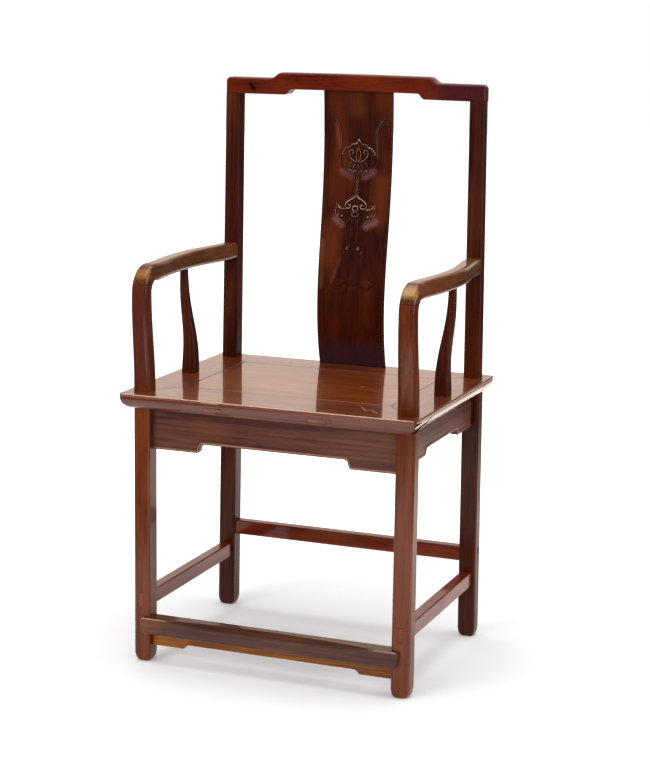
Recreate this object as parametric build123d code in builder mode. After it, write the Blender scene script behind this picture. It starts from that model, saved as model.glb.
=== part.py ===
from build123d import *
import os

# Official hat armchair of hardwood, held together by mortises and tenons alone.
# Millimetres. +Z is up, the chair faces -Y, and the origin is on the floor under the middle of the seat.

os.makedirs("parts", exist_ok=True)

# ---------------------------------------------------------------- driving dimensions

# seat: a mitred frame of four rails round a floating panel, carried by two braces
seat_width = 580
seat_depth = 470
seat_height = 523
frame_thickness = 30
front_rail_width = 106
rear_rail_width = 80
side_rail_width = 83
seat_corner_round = 9
edge_lip = 3.5
edge_lip_round = 1.2
edge_groove = 1.5
edge_undercut = 23
panel_thickness = 12
panel_tongue = 8
panel_tongue_thickness = 5
panel_reveal = 0.9
panel_arris = 1.2
brace_width = 35
brace_height = 20
brace_spread = 101
brace_ridge_height = 4
brace_ridge_foot = 16
brace_ridge_top = 21

# legs: square timbers that run up through the seat, rounded most at the outward corner; the feet
# are worn, which draws each side in by (height, amount)
leg_size = 34.5
leg_outer_round = 10
leg_arris_round = 4.5
foot_wear = ((0, 7), (2.5, 3.8), (7, 1.7), (16, 0))
neck_size = 23
front_leg_inset = 31
front_leg_setback = 48
rear_leg_setback = 30
rear_foot_inset = 29.5
rear_top_inset = 38
post_seat_size = 32
post_top_size = 30

# crest rail: bowed backwards in plan, raised in the middle, and joined over the posts
crest_height = 1096.5
crest_step = 11
crest_step_from_end = 104
crest_arch_from_end = 130
crest_step_run = 25
crest_arch_run = 18
crest_centre_thickness = 32
crest_end_thickness = 31.5
crest_bow = 22
crest_end_round = 9
crest_arris_round = 5.5

# splat: a board bent to the sitter's back; its curve is (share of its height, set back from the posts)
splat_foot_width = 138
splat_top_width = 142
splat_thickness = 11
splat_arris_round = 1.5
splat_curve = ((0, 9.5), (0.27, -8.5), (0.59, 12.5), (0.84, 20), (1, 16.5))

# arms: level rails that turn down over the goosenecks; each bows outwards by (share of its
# length, share of the bow), and its gooseneck leans by (share of its height, share of the reach)
arm_height = 757.5
arm_thickness = 32.5
arm_width = 30
arm_bow = 15.5
arm_curve = ((0, 0), (0.12, 0.2), (0.28, 0.72), (0.46, 1), (0.64, 0.85), (0.83, 0.27), (0.94, 0.05), (1, 0))
gooseneck_curve = ((0, 0), (0.3, 0.2), (0.65, 0.75), (1, 1))
arm_round = 7.5
elbow_inner_radius = 18
gooseneck_depth = 32.5
gooseneck_base = 34.5
gooseneck_reach = 12
gooseneck_seam_drop = 1.5

# arm supports: their curve is (share of the height, share of the outward shift, square section)
support_y = 10
support_foot_inset = 32
support_round = 3.5
support_curve = ((0, 0, 27), (0.25, 0, 24), (0.41, 0.2, 21), (0.6, 0.6, 18), (0.8, 0.91, 15.5), (1, 1, 13.5))

# aprons: thin boards under the seat, lower at their ends
apron_thickness = 13
apron_setback = 17
apron_depth = 80
apron_step = 17
apron_low_length = 92
side_apron_depth = 65.5
side_apron_step = 13
side_apron_low_length = 84
apron_step_run = 11
apron_step_round = 3
apron_tongue = 5
apron_tongue_thickness = 7

# stretchers between the legs, lowest in front and highest behind
stretcher_width = 22
stretcher_height = 29
stretcher_round = 2.5
side_stretcher_top = 135
rear_stretcher_top = 182
foot_rail_top = 90
foot_rail_height = 31
foot_rail_depth = 33
foot_rail_proud = 9.5
foot_rail_lap = 18
foot_rail_lap_slant = 6
foot_rail_lap_round = 6
foot_rail_round = 3
foot_rail_wear = 7
foot_rail_wear_width = 18
foot_apron_thickness = 9
foot_apron_setback = 13.5
foot_apron_depth = 27
foot_apron_step = 8
foot_apron_low_length = 66
foot_apron_tongue_thickness = 4

# joints
joint_gap = 0.1
seat_tenon_thickness = 8.5
front_seat_tenon_width = 24
rear_seat_tenon_width = 20
seat_tenon_inset = 11
brace_tenon_drop = 1.5
stretcher_tenon = 10
foot_rail_tenon_depth = 20
foot_rail_tenon_shoulder = 4
post_tenon = 13
post_tenon_height = 18
gooseneck_tenon = 11
gooseneck_tenon_height = 10
splat_tenon_thickness = 7
splat_tenon_shoulder = 8
splat_tenon_depth = 11
arm_tenon_width = 12
arm_tenon_height = 17
arm_tenon_depth = 15
support_foot_tenon = 12
support_foot_tenon_depth = 14
support_top_tenon = 6.5
support_top_tenon_depth = 8

# ---------------------------------------------------------------- derived places

half_width = seat_width / 2
half_depth = seat_depth / 2
seat_bottom = seat_height - frame_thickness
inner_half_width = half_width - side_rail_width
panel_front = -half_depth + front_rail_width
panel_back = half_depth - rear_rail_width
panel_bottom = seat_height - panel_thickness

front_leg_spread = half_width - front_leg_inset
rear_foot_spread = half_width - rear_foot_inset
rear_top_spread = half_width - rear_top_inset
support_foot_spread = half_width - support_foot_inset
front_leg_y = -half_depth + front_leg_setback
rear_leg_y = half_depth - rear_leg_setback
leg_front = front_leg_y - leg_size / 2
leg_back = rear_leg_y + leg_size / 2
side_span_front = front_leg_y + leg_size / 2
side_span_back = rear_leg_y - leg_size / 2
leg_inside = front_leg_spread - leg_size / 2
leg_outside = front_leg_spread + leg_size / 2

crest_end_top = crest_height - crest_step
crest_seat = crest_end_top - crest_end_thickness
crest_arch = crest_height - crest_centre_thickness
crest_half_length = rear_top_spread + post_top_size / 2
crest_step_at = crest_half_length - crest_step_from_end
crest_arch_at = crest_half_length - crest_arch_from_end
crest_depth = post_top_size
rear_splay = (rear_foot_spread - rear_top_spread) / crest_seat

arm_bottom = arm_height - arm_thickness
arm_middle = arm_height - arm_thickness / 2
gooseneck_y = front_leg_y - gooseneck_reach
elbow_y = gooseneck_y + arm_thickness / 2 + elbow_inner_radius
elbow_z = arm_bottom - elbow_inner_radius
seam_z = arm_bottom - gooseneck_seam_drop

apron_face = leg_front + apron_setback
foot_rail_front = leg_front - foot_rail_proud
foot_rail_back = foot_rail_front + foot_rail_depth
foot_rail_bottom = foot_rail_top - foot_rail_height
foot_apron_face = leg_front + foot_apron_setback

SIDES = ((-1, "left"), (1, "right"))


def rear_spread(height):
    """How far a rear post's centre stands from the middle of the chair, at a height."""
    return rear_foot_spread - rear_splay * height


def post_size(height):
    """Width of a rear post's square section above the seat, at a height."""
    share = (height - seat_height) / (crest_seat - seat_height)
    return post_seat_size + (post_top_size - post_seat_size) * share


def arm_spread(share, bow):
    """How far an arm's centre line stands from the middle of the chair, for its shares of length and bow."""
    straight = front_leg_spread + (rear_spread(arm_middle) - front_leg_spread) * share
    return straight + arm_bow * bow


# an arm ends against the front of its post, scribed to the rounded arrises there
arm_end_y = rear_leg_y - post_size(arm_middle) / 2 + leg_arris_round

# the support meets the arm where its bow is widest
support_share = (support_y - elbow_y) / (arm_end_y - elbow_y)
support_top_spread = arm_spread(support_share, 1)


# ---------------------------------------------------------------- shared shapes


def block(low, high, mode=Mode.ADD):
    """A square block between two opposite corners."""
    middle = tuple((a + b) / 2 for a, b in zip(low, high))
    size = [b - a for a, b in zip(low, high)]
    with Locations(middle):
        Box(*size, mode=mode)


def ordered(low, high):
    """The same two corners, with the lower value of each first."""
    return [min(a, b) for a, b in zip(low, high)], [max(a, b) for a, b in zip(low, high)]


def tenon(low, high):
    """A square tenon between two opposite corners, given in either order."""
    block(*ordered(low, high))


def mortise(low, high):
    """The room for the tenon between the same two corners, with the joint's gap all round."""
    low, high = ordered(low, high)
    block([a - joint_gap for a in low], [b + joint_gap for b in high], Mode.SUBTRACT)


def leg_section(size, side, end):
    """Square section of a leg, with its largest round at the corner that faces (side, end)."""
    outward = Axis((0, 0, 0), (side, end, 0))
    with BuildSketch() as section:
        Rectangle(size, size)
        fillet(section.vertices().sort_by(outward)[-1], leg_outer_round)
        fillet(section.vertices().sort_by(outward)[:3], leg_arris_round)
    return section.sketch


def leg_and_neck(side, end, foot, knee, neck):
    """A leg from the floor to the seat, with the neck that the seat frame clasps; three centres in plan."""
    with BuildPart() as leg:
        for height, wear in (*foot_wear, (seat_bottom, 0)):
            centre = Vector(*foot) + (Vector(*knee) - Vector(*foot)) * (height / seat_bottom)
            with BuildSketch(Plane((centre.X, centre.Y, height))):
                add(leg_section(leg_size - 2 * wear, side, end))
        loft(ruled=True)
        with BuildSketch(Plane((*neck, seat_bottom))):
            Rectangle(neck_size, neck_size)
        extrude(amount=frame_thickness)
    return leg.part


def rear_leg_blank(side):
    """Rear leg and post in one timber, before its mortises are cut."""
    centres = [(side * rear_spread(height), rear_leg_y) for height in (0, seat_bottom, seat_height)]
    with BuildPart() as timber:
        add(leg_and_neck(side, 1, *centres))
        for height in (seat_height, crest_seat):
            with BuildSketch(Plane((side * rear_spread(height), rear_leg_y, height))):
                add(leg_section(post_size(height), side, 1))
        loft(ruled=True)
    return timber.part


def arm_blank(side):
    """Gooseneck, elbow and arm as one flowing timber, from the seat to just inside the rear post."""
    x = side * front_leg_spread
    with BuildPart() as timber:
        # the gooseneck leans forward in an easy curve and grows slimmer
        for share, lean in gooseneck_curve:
            centre = (x, front_leg_y - gooseneck_reach * lean, seat_height + (elbow_z - seat_height) * share)
            width = gooseneck_base + (arm_width - gooseneck_base) * share
            depth = gooseneck_depth + (arm_thickness - gooseneck_depth) * share
            with BuildSketch(Plane(centre)):
                RectangleRounded(width, depth, arm_round)
        loft()
        # the elbow turns a quarter circle
        with BuildSketch(Plane((x, gooseneck_y, elbow_z))):
            RectangleRounded(arm_width, arm_thickness, arm_round)
        revolve(axis=Axis((x, elbow_y, elbow_z), (-1, 0, 0)), revolution_arc=90)
        # the arm runs level and bows outwards
        for share, bow in arm_curve:
            centre = (side * arm_spread(share, bow), elbow_y + (arm_end_y - elbow_y) * share, arm_middle)
            with BuildSketch(Plane(centre, x_dir=(1, 0, 0), z_dir=(0, 1, 0))):
                RectangleRounded(arm_width, arm_thickness, arm_round)
        loft()
    return timber.part


def stepped_outline(half_length, top, depth, step, low_length):
    """Outline of an apron: low at both ends, with a sloping step up to its middle, about x = 0."""
    foot = top - depth
    step_start = half_length - low_length
    step_end = step_start - apron_step_run
    with BuildSketch() as outline:
        with BuildLine():
            Polyline((0, top), (half_length, top), (half_length, foot), (step_start + apron_step_round, foot))
            Spline(
                (step_start + apron_step_round, foot),
                (step_start - apron_step_round / 2, foot + apron_step_round),
                (step_end, foot + step),
                tangents=((-1, 0), (-1, 0)),
            )
            Polyline((step_end, foot + step), (0, foot + step), (0, top))
        make_face()
        mirror(about=Plane.YZ)
    return outline.sketch


def edge_profile(half):
    """Section across the seat with its moulded edge: a lip, a fine groove and a long undercut curve."""
    shoulder = seat_height - edge_lip - edge_groove
    with BuildSketch() as section:
        with BuildLine():
            Polyline((0, seat_bottom), (half - edge_undercut, seat_bottom))
            TangentArc((half - edge_groove, shoulder), (half - edge_undercut, seat_bottom), tangent=(0, -1))
            Polyline(
                (half - edge_groove, shoulder),
                (half, shoulder + edge_groove),
                (half, seat_height),
                (0, seat_height),
                (0, seat_bottom),
            )
        make_face()
        fillet(section.vertices().group_by(Axis.Y)[-1].sort_by(Axis.X)[-1], edge_lip_round)
        mirror(about=Plane.YZ)
    return section.sketch


def seat_blank():
    """The whole seat as one moulded board, from which the rails take their outer edges."""
    with BuildPart() as board:
        with BuildSketch(Plane.XZ):
            add(edge_profile(half_width))
        extrude(amount=half_depth, both=True)
        with BuildSketch(Plane.YZ):
            add(edge_profile(half_depth))
        extrude(amount=half_width, both=True, mode=Mode.INTERSECT)
        with BuildSketch(Plane.XY.offset(seat_bottom)):
            RectangleRounded(seat_width, seat_depth, seat_corner_round)
        extrude(amount=frame_thickness, mode=Mode.INTERSECT)
    return board.part


def seat_rail_blank(*corners):
    """One rail of the seat frame between its mitres, as thick as the frame."""
    with BuildPart() as rail:
        with BuildSketch(Plane.XY.offset(seat_bottom)):
            with BuildLine():
                Polyline(*corners, close=True)
            make_face()
        extrude(amount=frame_thickness)
    return rail.part


# ---------------------------------------------------------------- tenons, as pairs of corners

seat_tenon_low = seat_bottom + (frame_thickness - seat_tenon_thickness) / 2
seat_tenon_high = seat_tenon_low + seat_tenon_thickness


def seat_corner_tenon(side, inner_edge, end, width):
    """Tenon of a front or rear rail (end -1 or +1) through a side rail."""
    near = inner_edge + end * seat_tenon_inset
    return (
        (side * inner_half_width, near, seat_tenon_low),
        (side * half_width, near + end * width, seat_tenon_high),
    )


def seat_corner_tenons(side):
    """The two tenons that pass through a side rail."""
    return (
        seat_corner_tenon(side, panel_front, -1, front_seat_tenon_width),
        seat_corner_tenon(side, panel_back, 1, rear_seat_tenon_width),
    )


def brace_tenon(side, end):
    """Tenon of a seat brace through the front or rear rail."""
    high = panel_bottom - brace_tenon_drop
    inner = panel_front if end < 0 else panel_back
    return (
        (side * brace_spread - brace_width / 2, inner, high - seat_tenon_thickness),
        (side * brace_spread + brace_width / 2, end * half_depth, high),
    )


def neck_room(side):
    """Rooms that the seat frame leaves for the necks of the front and rear leg."""
    half = neck_size / 2
    for x, y in ((front_leg_spread, front_leg_y), (rear_spread(seat_height), rear_leg_y)):
        yield (side * x - half, y - half, seat_bottom), (side * x + half, y + half, seat_height)


panel_tongue_room = (
    (-inner_half_width - panel_tongue, panel_front - panel_tongue, panel_bottom),
    (inner_half_width + panel_tongue, panel_back + panel_tongue, panel_bottom + panel_tongue_thickness),
)


def stretcher_tenon_side(side):
    """Through tenon of a side stretcher, from the front of one leg to the back of the other."""
    half = stretcher_tenon / 2
    return (
        (side * front_leg_spread - half, leg_front, side_stretcher_top - stretcher_height),
        (side * front_leg_spread + half, leg_back, side_stretcher_top),
    )


rear_stretcher_reach = rear_spread(rear_stretcher_top) + leg_size / 2 - joint_gap
rear_stretcher_tenon = (
    (-rear_stretcher_reach, rear_leg_y - stretcher_tenon / 2, rear_stretcher_top - stretcher_height),
    (rear_stretcher_reach, rear_leg_y + stretcher_tenon / 2, rear_stretcher_top),
)

foot_rail_tenon_reach = leg_inside + foot_rail_tenon_depth
foot_rail_tenon = (
    (-foot_rail_tenon_reach, front_leg_y - stretcher_tenon, foot_rail_bottom + foot_rail_tenon_shoulder),
    (foot_rail_tenon_reach, front_leg_y, foot_rail_top - foot_rail_tenon_shoulder),
)


def tongue(face, thickness, share):
    """Where a tongue of some thickness lies in a board that starts at a face, and is so thick."""
    near = face + (share - thickness) / 2
    return near, near + thickness


front_tongue = tongue(apron_face, apron_tongue_thickness, apron_thickness)
rear_apron_face = leg_back - apron_setback - apron_thickness
rear_tongue = tongue(rear_apron_face, apron_tongue_thickness, apron_thickness)
side_apron_face = leg_outside - apron_setback - apron_thickness
side_tongue = tongue(side_apron_face, apron_tongue_thickness, apron_thickness)
foot_tongue = tongue(foot_apron_face, foot_apron_tongue_thickness, foot_apron_thickness)

# end tongue of each apron, from leg to leg
front_apron_ends = (
    (-leg_inside - apron_tongue, front_tongue[0], seat_bottom - apron_depth),
    (leg_inside + apron_tongue, front_tongue[1], seat_bottom),
)
rear_inside = rear_spread(seat_bottom) - leg_size / 2
rear_apron_ends = (
    (-rear_inside - apron_tongue, rear_tongue[0], seat_bottom - side_apron_depth),
    (rear_inside + apron_tongue, rear_tongue[1], seat_bottom),
)
foot_apron_ends = (
    (-leg_inside - apron_tongue, foot_tongue[0], foot_rail_bottom - foot_apron_depth),
    (leg_inside + apron_tongue, foot_tongue[1], foot_rail_bottom),
)


def side_apron_ends(side):
    """End tongues of a side apron, from leg to leg."""
    return (
        (side * side_tongue[0], side_span_front - apron_tongue, seat_bottom - side_apron_depth),
        (side * side_tongue[1], side_span_back + apron_tongue, seat_bottom),
    )


# top tongue of each apron, in the underside of what it hangs from
front_apron_top = (
    (-leg_inside + apron_tongue, front_tongue[0], seat_bottom),
    (leg_inside - apron_tongue, front_tongue[1], seat_bottom + apron_tongue),
)
rear_apron_top = (
    (-rear_inside + apron_tongue, rear_tongue[0], seat_bottom),
    (rear_inside - apron_tongue, rear_tongue[1], seat_bottom + apron_tongue),
)
foot_apron_top = (
    (-leg_inside + apron_tongue, foot_tongue[0], foot_rail_bottom),
    (leg_inside - apron_tongue, foot_tongue[1], foot_rail_bottom + apron_tongue),
)


def side_apron_top(side):
    """Top tongue of a side apron, in the underside of the side rail."""
    return (
        (side * side_tongue[0], side_span_front + apron_tongue, seat_bottom),
        (side * side_tongue[1], side_span_back - apron_tongue, seat_bottom + apron_tongue),
    )


def post_tenon_corners(side):
    """Tenon on top of a rear post, in the crest rail."""
    x = side * rear_top_spread
    half = post_tenon / 2
    return (
        (x - half, rear_leg_y - half, crest_seat),
        (x + half, rear_leg_y + half, crest_seat + post_tenon_height),
    )


def gooseneck_tenon_corners(side):
    """Tenon on top of a gooseneck, in the down-turned end of the arm."""
    x = side * front_leg_spread
    half = gooseneck_tenon / 2
    return (
        (x - half, gooseneck_y - half, seam_z),
        (x + half, gooseneck_y + half, seam_z + gooseneck_tenon_height),
    )


def arm_tenon_corners(side):
    """Tenon at the rear end of an arm, in the front of the post."""
    x = side * rear_spread(arm_middle)
    face = rear_leg_y - post_size(arm_middle) / 2
    return (
        (x - arm_tenon_width / 2, face - arm_tenon_depth, arm_middle - arm_tenon_height / 2),
        (x + arm_tenon_width / 2, face + arm_tenon_depth, arm_middle + arm_tenon_height / 2),
    )


def splat_tenon(width, setback, low, high):
    """Tenon at one end of the splat, from shoulder to shoulder."""
    middle = rear_leg_y + setback + splat_thickness / 2
    half_width_inside = width / 2 - splat_tenon_shoulder
    return (
        (-half_width_inside, middle - splat_tenon_thickness / 2, low),
        (half_width_inside, middle + splat_tenon_thickness / 2, high),
    )


splat_foot_tenon = splat_tenon(
    splat_foot_width, splat_curve[0][1], seat_height - splat_tenon_depth, seat_height
)
splat_top_tenon = splat_tenon(
    splat_top_width, splat_curve[-1][1], crest_arch, crest_arch + splat_tenon_depth
)

# ---------------------------------------------------------------- legs and posts

arm_blanks = {side: arm_blank(side) for side, _ in SIDES}
rear_leg_blanks = {side: rear_leg_blank(side) for side, _ in SIDES}

for side, name in SIDES:
    centre = (side * front_leg_spread, front_leg_y)
    front_leg_rooms = (
        stretcher_tenon_side(side),
        foot_rail_tenon,
        front_apron_ends,
        side_apron_ends(side),
        foot_apron_ends,
    )
    with BuildPart() as front_leg:
        add(arm_blanks[side])
        split(bisect_by=Plane.XY.offset(seam_z), keep=Keep.BOTTOM)
        add(leg_and_neck(side, -1, centre, centre, centre))
        tenon(*gooseneck_tenon_corners(side))
        for room in front_leg_rooms:
            mortise(*room)
    front_leg.part.label = f"front_leg_{name}"
    export_step(front_leg.part, f"parts/front_leg_{name}.step")

    rear_leg_rooms = (
        stretcher_tenon_side(side),
        rear_stretcher_tenon,
        rear_apron_ends,
        side_apron_ends(side),
        arm_tenon_corners(side),
    )
    with BuildPart() as rear_leg:
        add(rear_leg_blanks[side])
        tenon(*post_tenon_corners(side))
        for room in rear_leg_rooms:
            mortise(*room)
    rear_leg.part.label = f"rear_leg_{name}"
    export_step(rear_leg.part, f"parts/rear_leg_{name}.step")

# ---------------------------------------------------------------- crest rail and splat

with BuildPart() as crest_rail:
    with BuildSketch(Plane.XZ.offset(-rear_leg_y)) as crest_front:
        with BuildLine():
            Line((0, crest_height), (crest_step_at - crest_step_run / 2, crest_height))
            Spline(
                (crest_step_at - crest_step_run / 2, crest_height),
                (crest_step_at + crest_step_run / 2, crest_end_top),
                tangents=((1, 0), (1, 0)),
            )
            Polyline(
                (crest_step_at + crest_step_run / 2, crest_end_top),
                (crest_half_length, crest_end_top),
                (crest_half_length, crest_seat),
                (crest_arch_at + crest_arch_run / 2, crest_seat),
            )
            Spline(
                (crest_arch_at + crest_arch_run / 2, crest_seat),
                (crest_arch_at - crest_arch_run / 2, crest_arch),
                tangents=((-1, 0), (-1, 0)),
            )
            Polyline((crest_arch_at - crest_arch_run / 2, crest_arch), (0, crest_arch), (0, crest_height))
        make_face()
        fillet(crest_front.vertices().sort_by(Axis((0, 0, 0), (1, 1, 0)))[-1], crest_end_round)
        mirror(about=Plane.YZ)
    extrude(amount=crest_bow + crest_depth, both=True)
    # in plan the rail runs straight over the posts and bows backwards between them
    crest_face = rear_leg_y - crest_depth / 2
    with BuildSketch(Plane.XY.offset(crest_seat)):
        with BuildLine():
            for y in (crest_face, crest_face + crest_depth):
                Line((-crest_half_length, y), (-rear_top_spread, y))
                Spline(
                    (-rear_top_spread, y), (0, y + crest_bow), (rear_top_spread, y), tangents=((1, 0), (1, 0))
                )
                Line((rear_top_spread, y), (crest_half_length, y))
            for x in (-crest_half_length, crest_half_length):
                Line((x, crest_face), (x, crest_face + crest_depth))
        make_face()
    extrude(amount=crest_height - crest_seat, mode=Mode.INTERSECT)
    arrises = crest_rail.edges().filter_by(GeomType.LINE, reverse=True)
    fillet(arrises.filter_by(lambda edge: edge.center().Z > crest_arch), crest_arris_round)
    for side, _ in SIDES:
        mortise(*post_tenon_corners(side))
    mortise(*splat_top_tenon)
crest_rail.part.label = "crest_rail"
export_step(crest_rail.part, "parts/crest_rail.step")

with BuildPart() as splat:
    with BuildSketch(Plane.YZ):
        with BuildLine():
            face = [
                (rear_leg_y + setback, seat_height + (crest_arch - seat_height) * share)
                for share, setback in splat_curve
            ]
            back = [(y + splat_thickness, z) for y, z in face]
            Spline(*face)
            Line(face[-1], back[-1])
            Spline(*back)
            Line(face[0], back[0])
        make_face()
    extrude(amount=splat_top_width, both=True)
    with BuildSketch(Plane.XZ):
        with BuildLine():
            Polyline(
                (-splat_foot_width / 2, seat_height),
                (splat_foot_width / 2, seat_height),
                (splat_top_width / 2, crest_arch),
                (-splat_top_width / 2, crest_arch),
                close=True,
            )
        make_face()
    extrude(amount=seat_depth, both=True, mode=Mode.INTERSECT)
    fillet(splat.edges().sort_by(SortBy.LENGTH)[-4:], splat_arris_round)
    tenon(*splat_foot_tenon)
    tenon(*splat_top_tenon)
splat.part.label = "splat"
export_step(splat.part, "parts/splat.step")

# ---------------------------------------------------------------- arms and their supports

for side, name in SIDES:
    support_x = [
        side * (support_foot_spread + (support_top_spread - support_foot_spread) * shift)
        for share, shift, size in support_curve
    ]
    support_z = [seat_height + (arm_bottom - seat_height) * share for share, shift, size in support_curve]
    with BuildPart() as arm_support:
        for x, z, (share, shift, size) in zip(support_x, support_z, support_curve):
            with BuildSketch(Plane((x, support_y, z))):
                RectangleRounded(size, size, support_round)
        loft()
        with BuildSketch(Plane((support_x[0], support_y, seat_height))):
            Circle(support_foot_tenon / 2)
        extrude(amount=-support_foot_tenon_depth)
        with BuildSketch(Plane((support_x[-1], support_y, arm_bottom))):
            Circle(support_top_tenon / 2)
        extrude(amount=support_top_tenon_depth)
    arm_support.part.label = f"arm_support_{name}"
    export_step(arm_support.part, f"parts/arm_support_{name}.step")

    with BuildPart() as arm:
        add(arm_blanks[side])
        split(bisect_by=Plane.XY.offset(seam_z), keep=Keep.TOP)
        add(rear_leg_blanks[side], mode=Mode.SUBTRACT)
        tenon(*arm_tenon_corners(side))
        mortise(*gooseneck_tenon_corners(side))
        with BuildSketch(Plane((support_x[-1], support_y, arm_bottom - joint_gap))):
            Circle(support_top_tenon / 2 + joint_gap)
        extrude(amount=support_top_tenon_depth + 2 * joint_gap, mode=Mode.SUBTRACT)
    arm.part.label = f"arm_{name}"
    export_step(arm.part, f"parts/arm_{name}.step")

# ---------------------------------------------------------------- seat

moulded_board = seat_blank()

for end, inner_edge, name in ((-1, panel_front, "front"), (1, panel_back, "rear")):
    with BuildPart() as seat_rail:
        add(
            seat_rail_blank(
                (-half_width, end * half_depth),
                (half_width, end * half_depth),
                (inner_half_width, inner_edge),
                (-inner_half_width, inner_edge),
            )
        )
        for side, _ in SIDES:
            tenon(*(seat_corner_tenons(side)[0 if end < 0 else 1]))
        add(moulded_board, mode=Mode.INTERSECT)
        mortise(*panel_tongue_room)
        for side, _ in SIDES:
            mortise(*brace_tenon(side, end))
            for room in neck_room(side):
                mortise(*room)
        mortise(*(front_apron_top if end < 0 else rear_apron_top))
        mortise(*splat_foot_tenon)
    seat_rail.part.label = f"seat_rail_{name}"
    export_step(seat_rail.part, f"parts/seat_rail_{name}.step")

for side, name in SIDES:
    with BuildPart() as seat_rail:
        add(
            seat_rail_blank(
                (side * half_width, -half_depth),
                (side * half_width, half_depth),
                (side * inner_half_width, panel_back),
                (side * inner_half_width, panel_front),
            )
        )
        add(moulded_board, mode=Mode.INTERSECT)
        mortise(*panel_tongue_room)
        for room in (*seat_corner_tenons(side), *neck_room(side), side_apron_top(side)):
            mortise(*room)
        with BuildSketch(Plane((side * support_foot_spread, support_y, seat_height + joint_gap))):
            Circle(support_foot_tenon / 2 + joint_gap)
        extrude(amount=-support_foot_tenon_depth - 2 * joint_gap, mode=Mode.SUBTRACT)
    seat_rail.part.label = f"seat_rail_{name}"
    export_step(seat_rail.part, f"parts/seat_rail_{name}.step")


def brace_ridge(side, spare):
    """Section of the dovetailed ridge on a brace, or of the panel's groove for it with some room to spare."""
    with BuildSketch(Plane.XZ.offset(-panel_back)) as ridge:
        with BuildLine():
            middle = side * brace_spread
            Polyline(
                (middle - brace_ridge_foot / 2 - spare, panel_bottom),
                (middle + brace_ridge_foot / 2 + spare, panel_bottom),
                (middle + brace_ridge_top / 2 + spare, panel_bottom + brace_ridge_height + spare),
                (middle - brace_ridge_top / 2 - spare, panel_bottom + brace_ridge_height + spare),
                close=True,
            )
        make_face()
    return ridge.sketch


with BuildPart() as seat_panel:
    block(
        (-inner_half_width + panel_reveal, panel_front + panel_reveal, panel_bottom),
        (inner_half_width - panel_reveal, panel_back - panel_reveal, seat_height),
    )
    tongue_low, tongue_high = panel_tongue_room
    block(
        (tongue_low[0] + panel_reveal, tongue_low[1] + panel_reveal, tongue_low[2]),
        (tongue_high[0] - panel_reveal, tongue_high[1] - panel_reveal, tongue_high[2]),
    )
    chamfer(seat_panel.faces().sort_by(Axis.Z)[-1].edges(), panel_arris)
    for side, _ in SIDES:
        extrude(brace_ridge(side, joint_gap), amount=panel_back - panel_front, mode=Mode.SUBTRACT)
seat_panel.part.label = "seat_panel"
export_step(seat_panel.part, "parts/seat_panel.step")

for side, name in SIDES:
    with BuildPart() as seat_brace:
        block(
            (side * brace_spread - brace_width / 2, panel_front, panel_bottom - brace_height),
            (side * brace_spread + brace_width / 2, panel_back, panel_bottom),
        )
        for end in (-1, 1):
            tenon(*brace_tenon(side, end))
        add(moulded_board, mode=Mode.INTERSECT)
        extrude(brace_ridge(side, 0), amount=panel_back - panel_front)
    seat_brace.part.label = f"seat_brace_{name}"
    export_step(seat_brace.part, f"parts/seat_brace_{name}.step")

# ---------------------------------------------------------------- aprons


def apron_board(plane, outline, thickness, end_tongue_thickness):
    """An apron hung at a plane that lies in its outer face; its tongues enter the legs at both ends."""
    half_length, top, depth, step, low_length = outline
    with BuildPart() as board:
        with BuildSketch(plane):
            add(stepped_outline(half_length, top, depth, step, low_length))
        extrude(amount=-thickness)
        with BuildSketch(plane.offset((end_tongue_thickness - thickness) / 2)):
            add(stepped_outline(half_length + apron_tongue, top, depth, step, low_length + apron_tongue))
        extrude(amount=-end_tongue_thickness)
    return board.part


side_outline = (
    (side_span_back - side_span_front) / 2,
    seat_bottom,
    side_apron_depth,
    side_apron_step,
    side_apron_low_length,
)
side_middle = (side_span_front + side_span_back) / 2

with BuildPart() as apron_front:
    front_outline = (leg_inside, seat_bottom, apron_depth, apron_step, apron_low_length)
    front_plane = Plane((0, apron_face, 0), x_dir=(1, 0, 0), z_dir=(0, -1, 0))
    add(apron_board(front_plane, front_outline, apron_thickness, apron_tongue_thickness))
    tenon(*front_apron_top)
apron_front.part.label = "apron_front"
export_step(apron_front.part, "parts/apron_front.step")

with BuildPart() as apron_rear:
    rear_outline = (rear_inside, seat_bottom, side_apron_depth, side_apron_step, side_apron_low_length)
    rear_plane = Plane((0, rear_apron_face + apron_thickness, 0), x_dir=(-1, 0, 0), z_dir=(0, 1, 0))
    add(apron_board(rear_plane, rear_outline, apron_thickness, apron_tongue_thickness))
    tenon(*rear_apron_top)
apron_rear.part.label = "apron_rear"
export_step(apron_rear.part, "parts/apron_rear.step")

for side, name in SIDES:
    with BuildPart() as apron_side:
        outer_face = side * (side_apron_face + apron_thickness)
        side_plane = Plane((outer_face, side_middle, 0), x_dir=(0, side, 0), z_dir=(side, 0, 0))
        add(apron_board(side_plane, side_outline, apron_thickness, apron_tongue_thickness))
        tenon(*side_apron_top(side))
    apron_side.part.label = f"apron_{name}"
    export_step(apron_side.part, f"parts/apron_{name}.step")

with BuildPart() as foot_rail_apron:
    foot_outline = (leg_inside, foot_rail_bottom, foot_apron_depth, foot_apron_step, foot_apron_low_length)
    foot_plane = Plane((0, foot_apron_face, 0), x_dir=(1, 0, 0), z_dir=(0, -1, 0))
    add(apron_board(foot_plane, foot_outline, foot_apron_thickness, foot_apron_tongue_thickness))
    tenon(*foot_apron_top)
foot_rail_apron.part.label = "foot_rail_apron"
export_step(foot_rail_apron.part, "parts/foot_rail_apron.step")

# ---------------------------------------------------------------- stretchers

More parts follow.
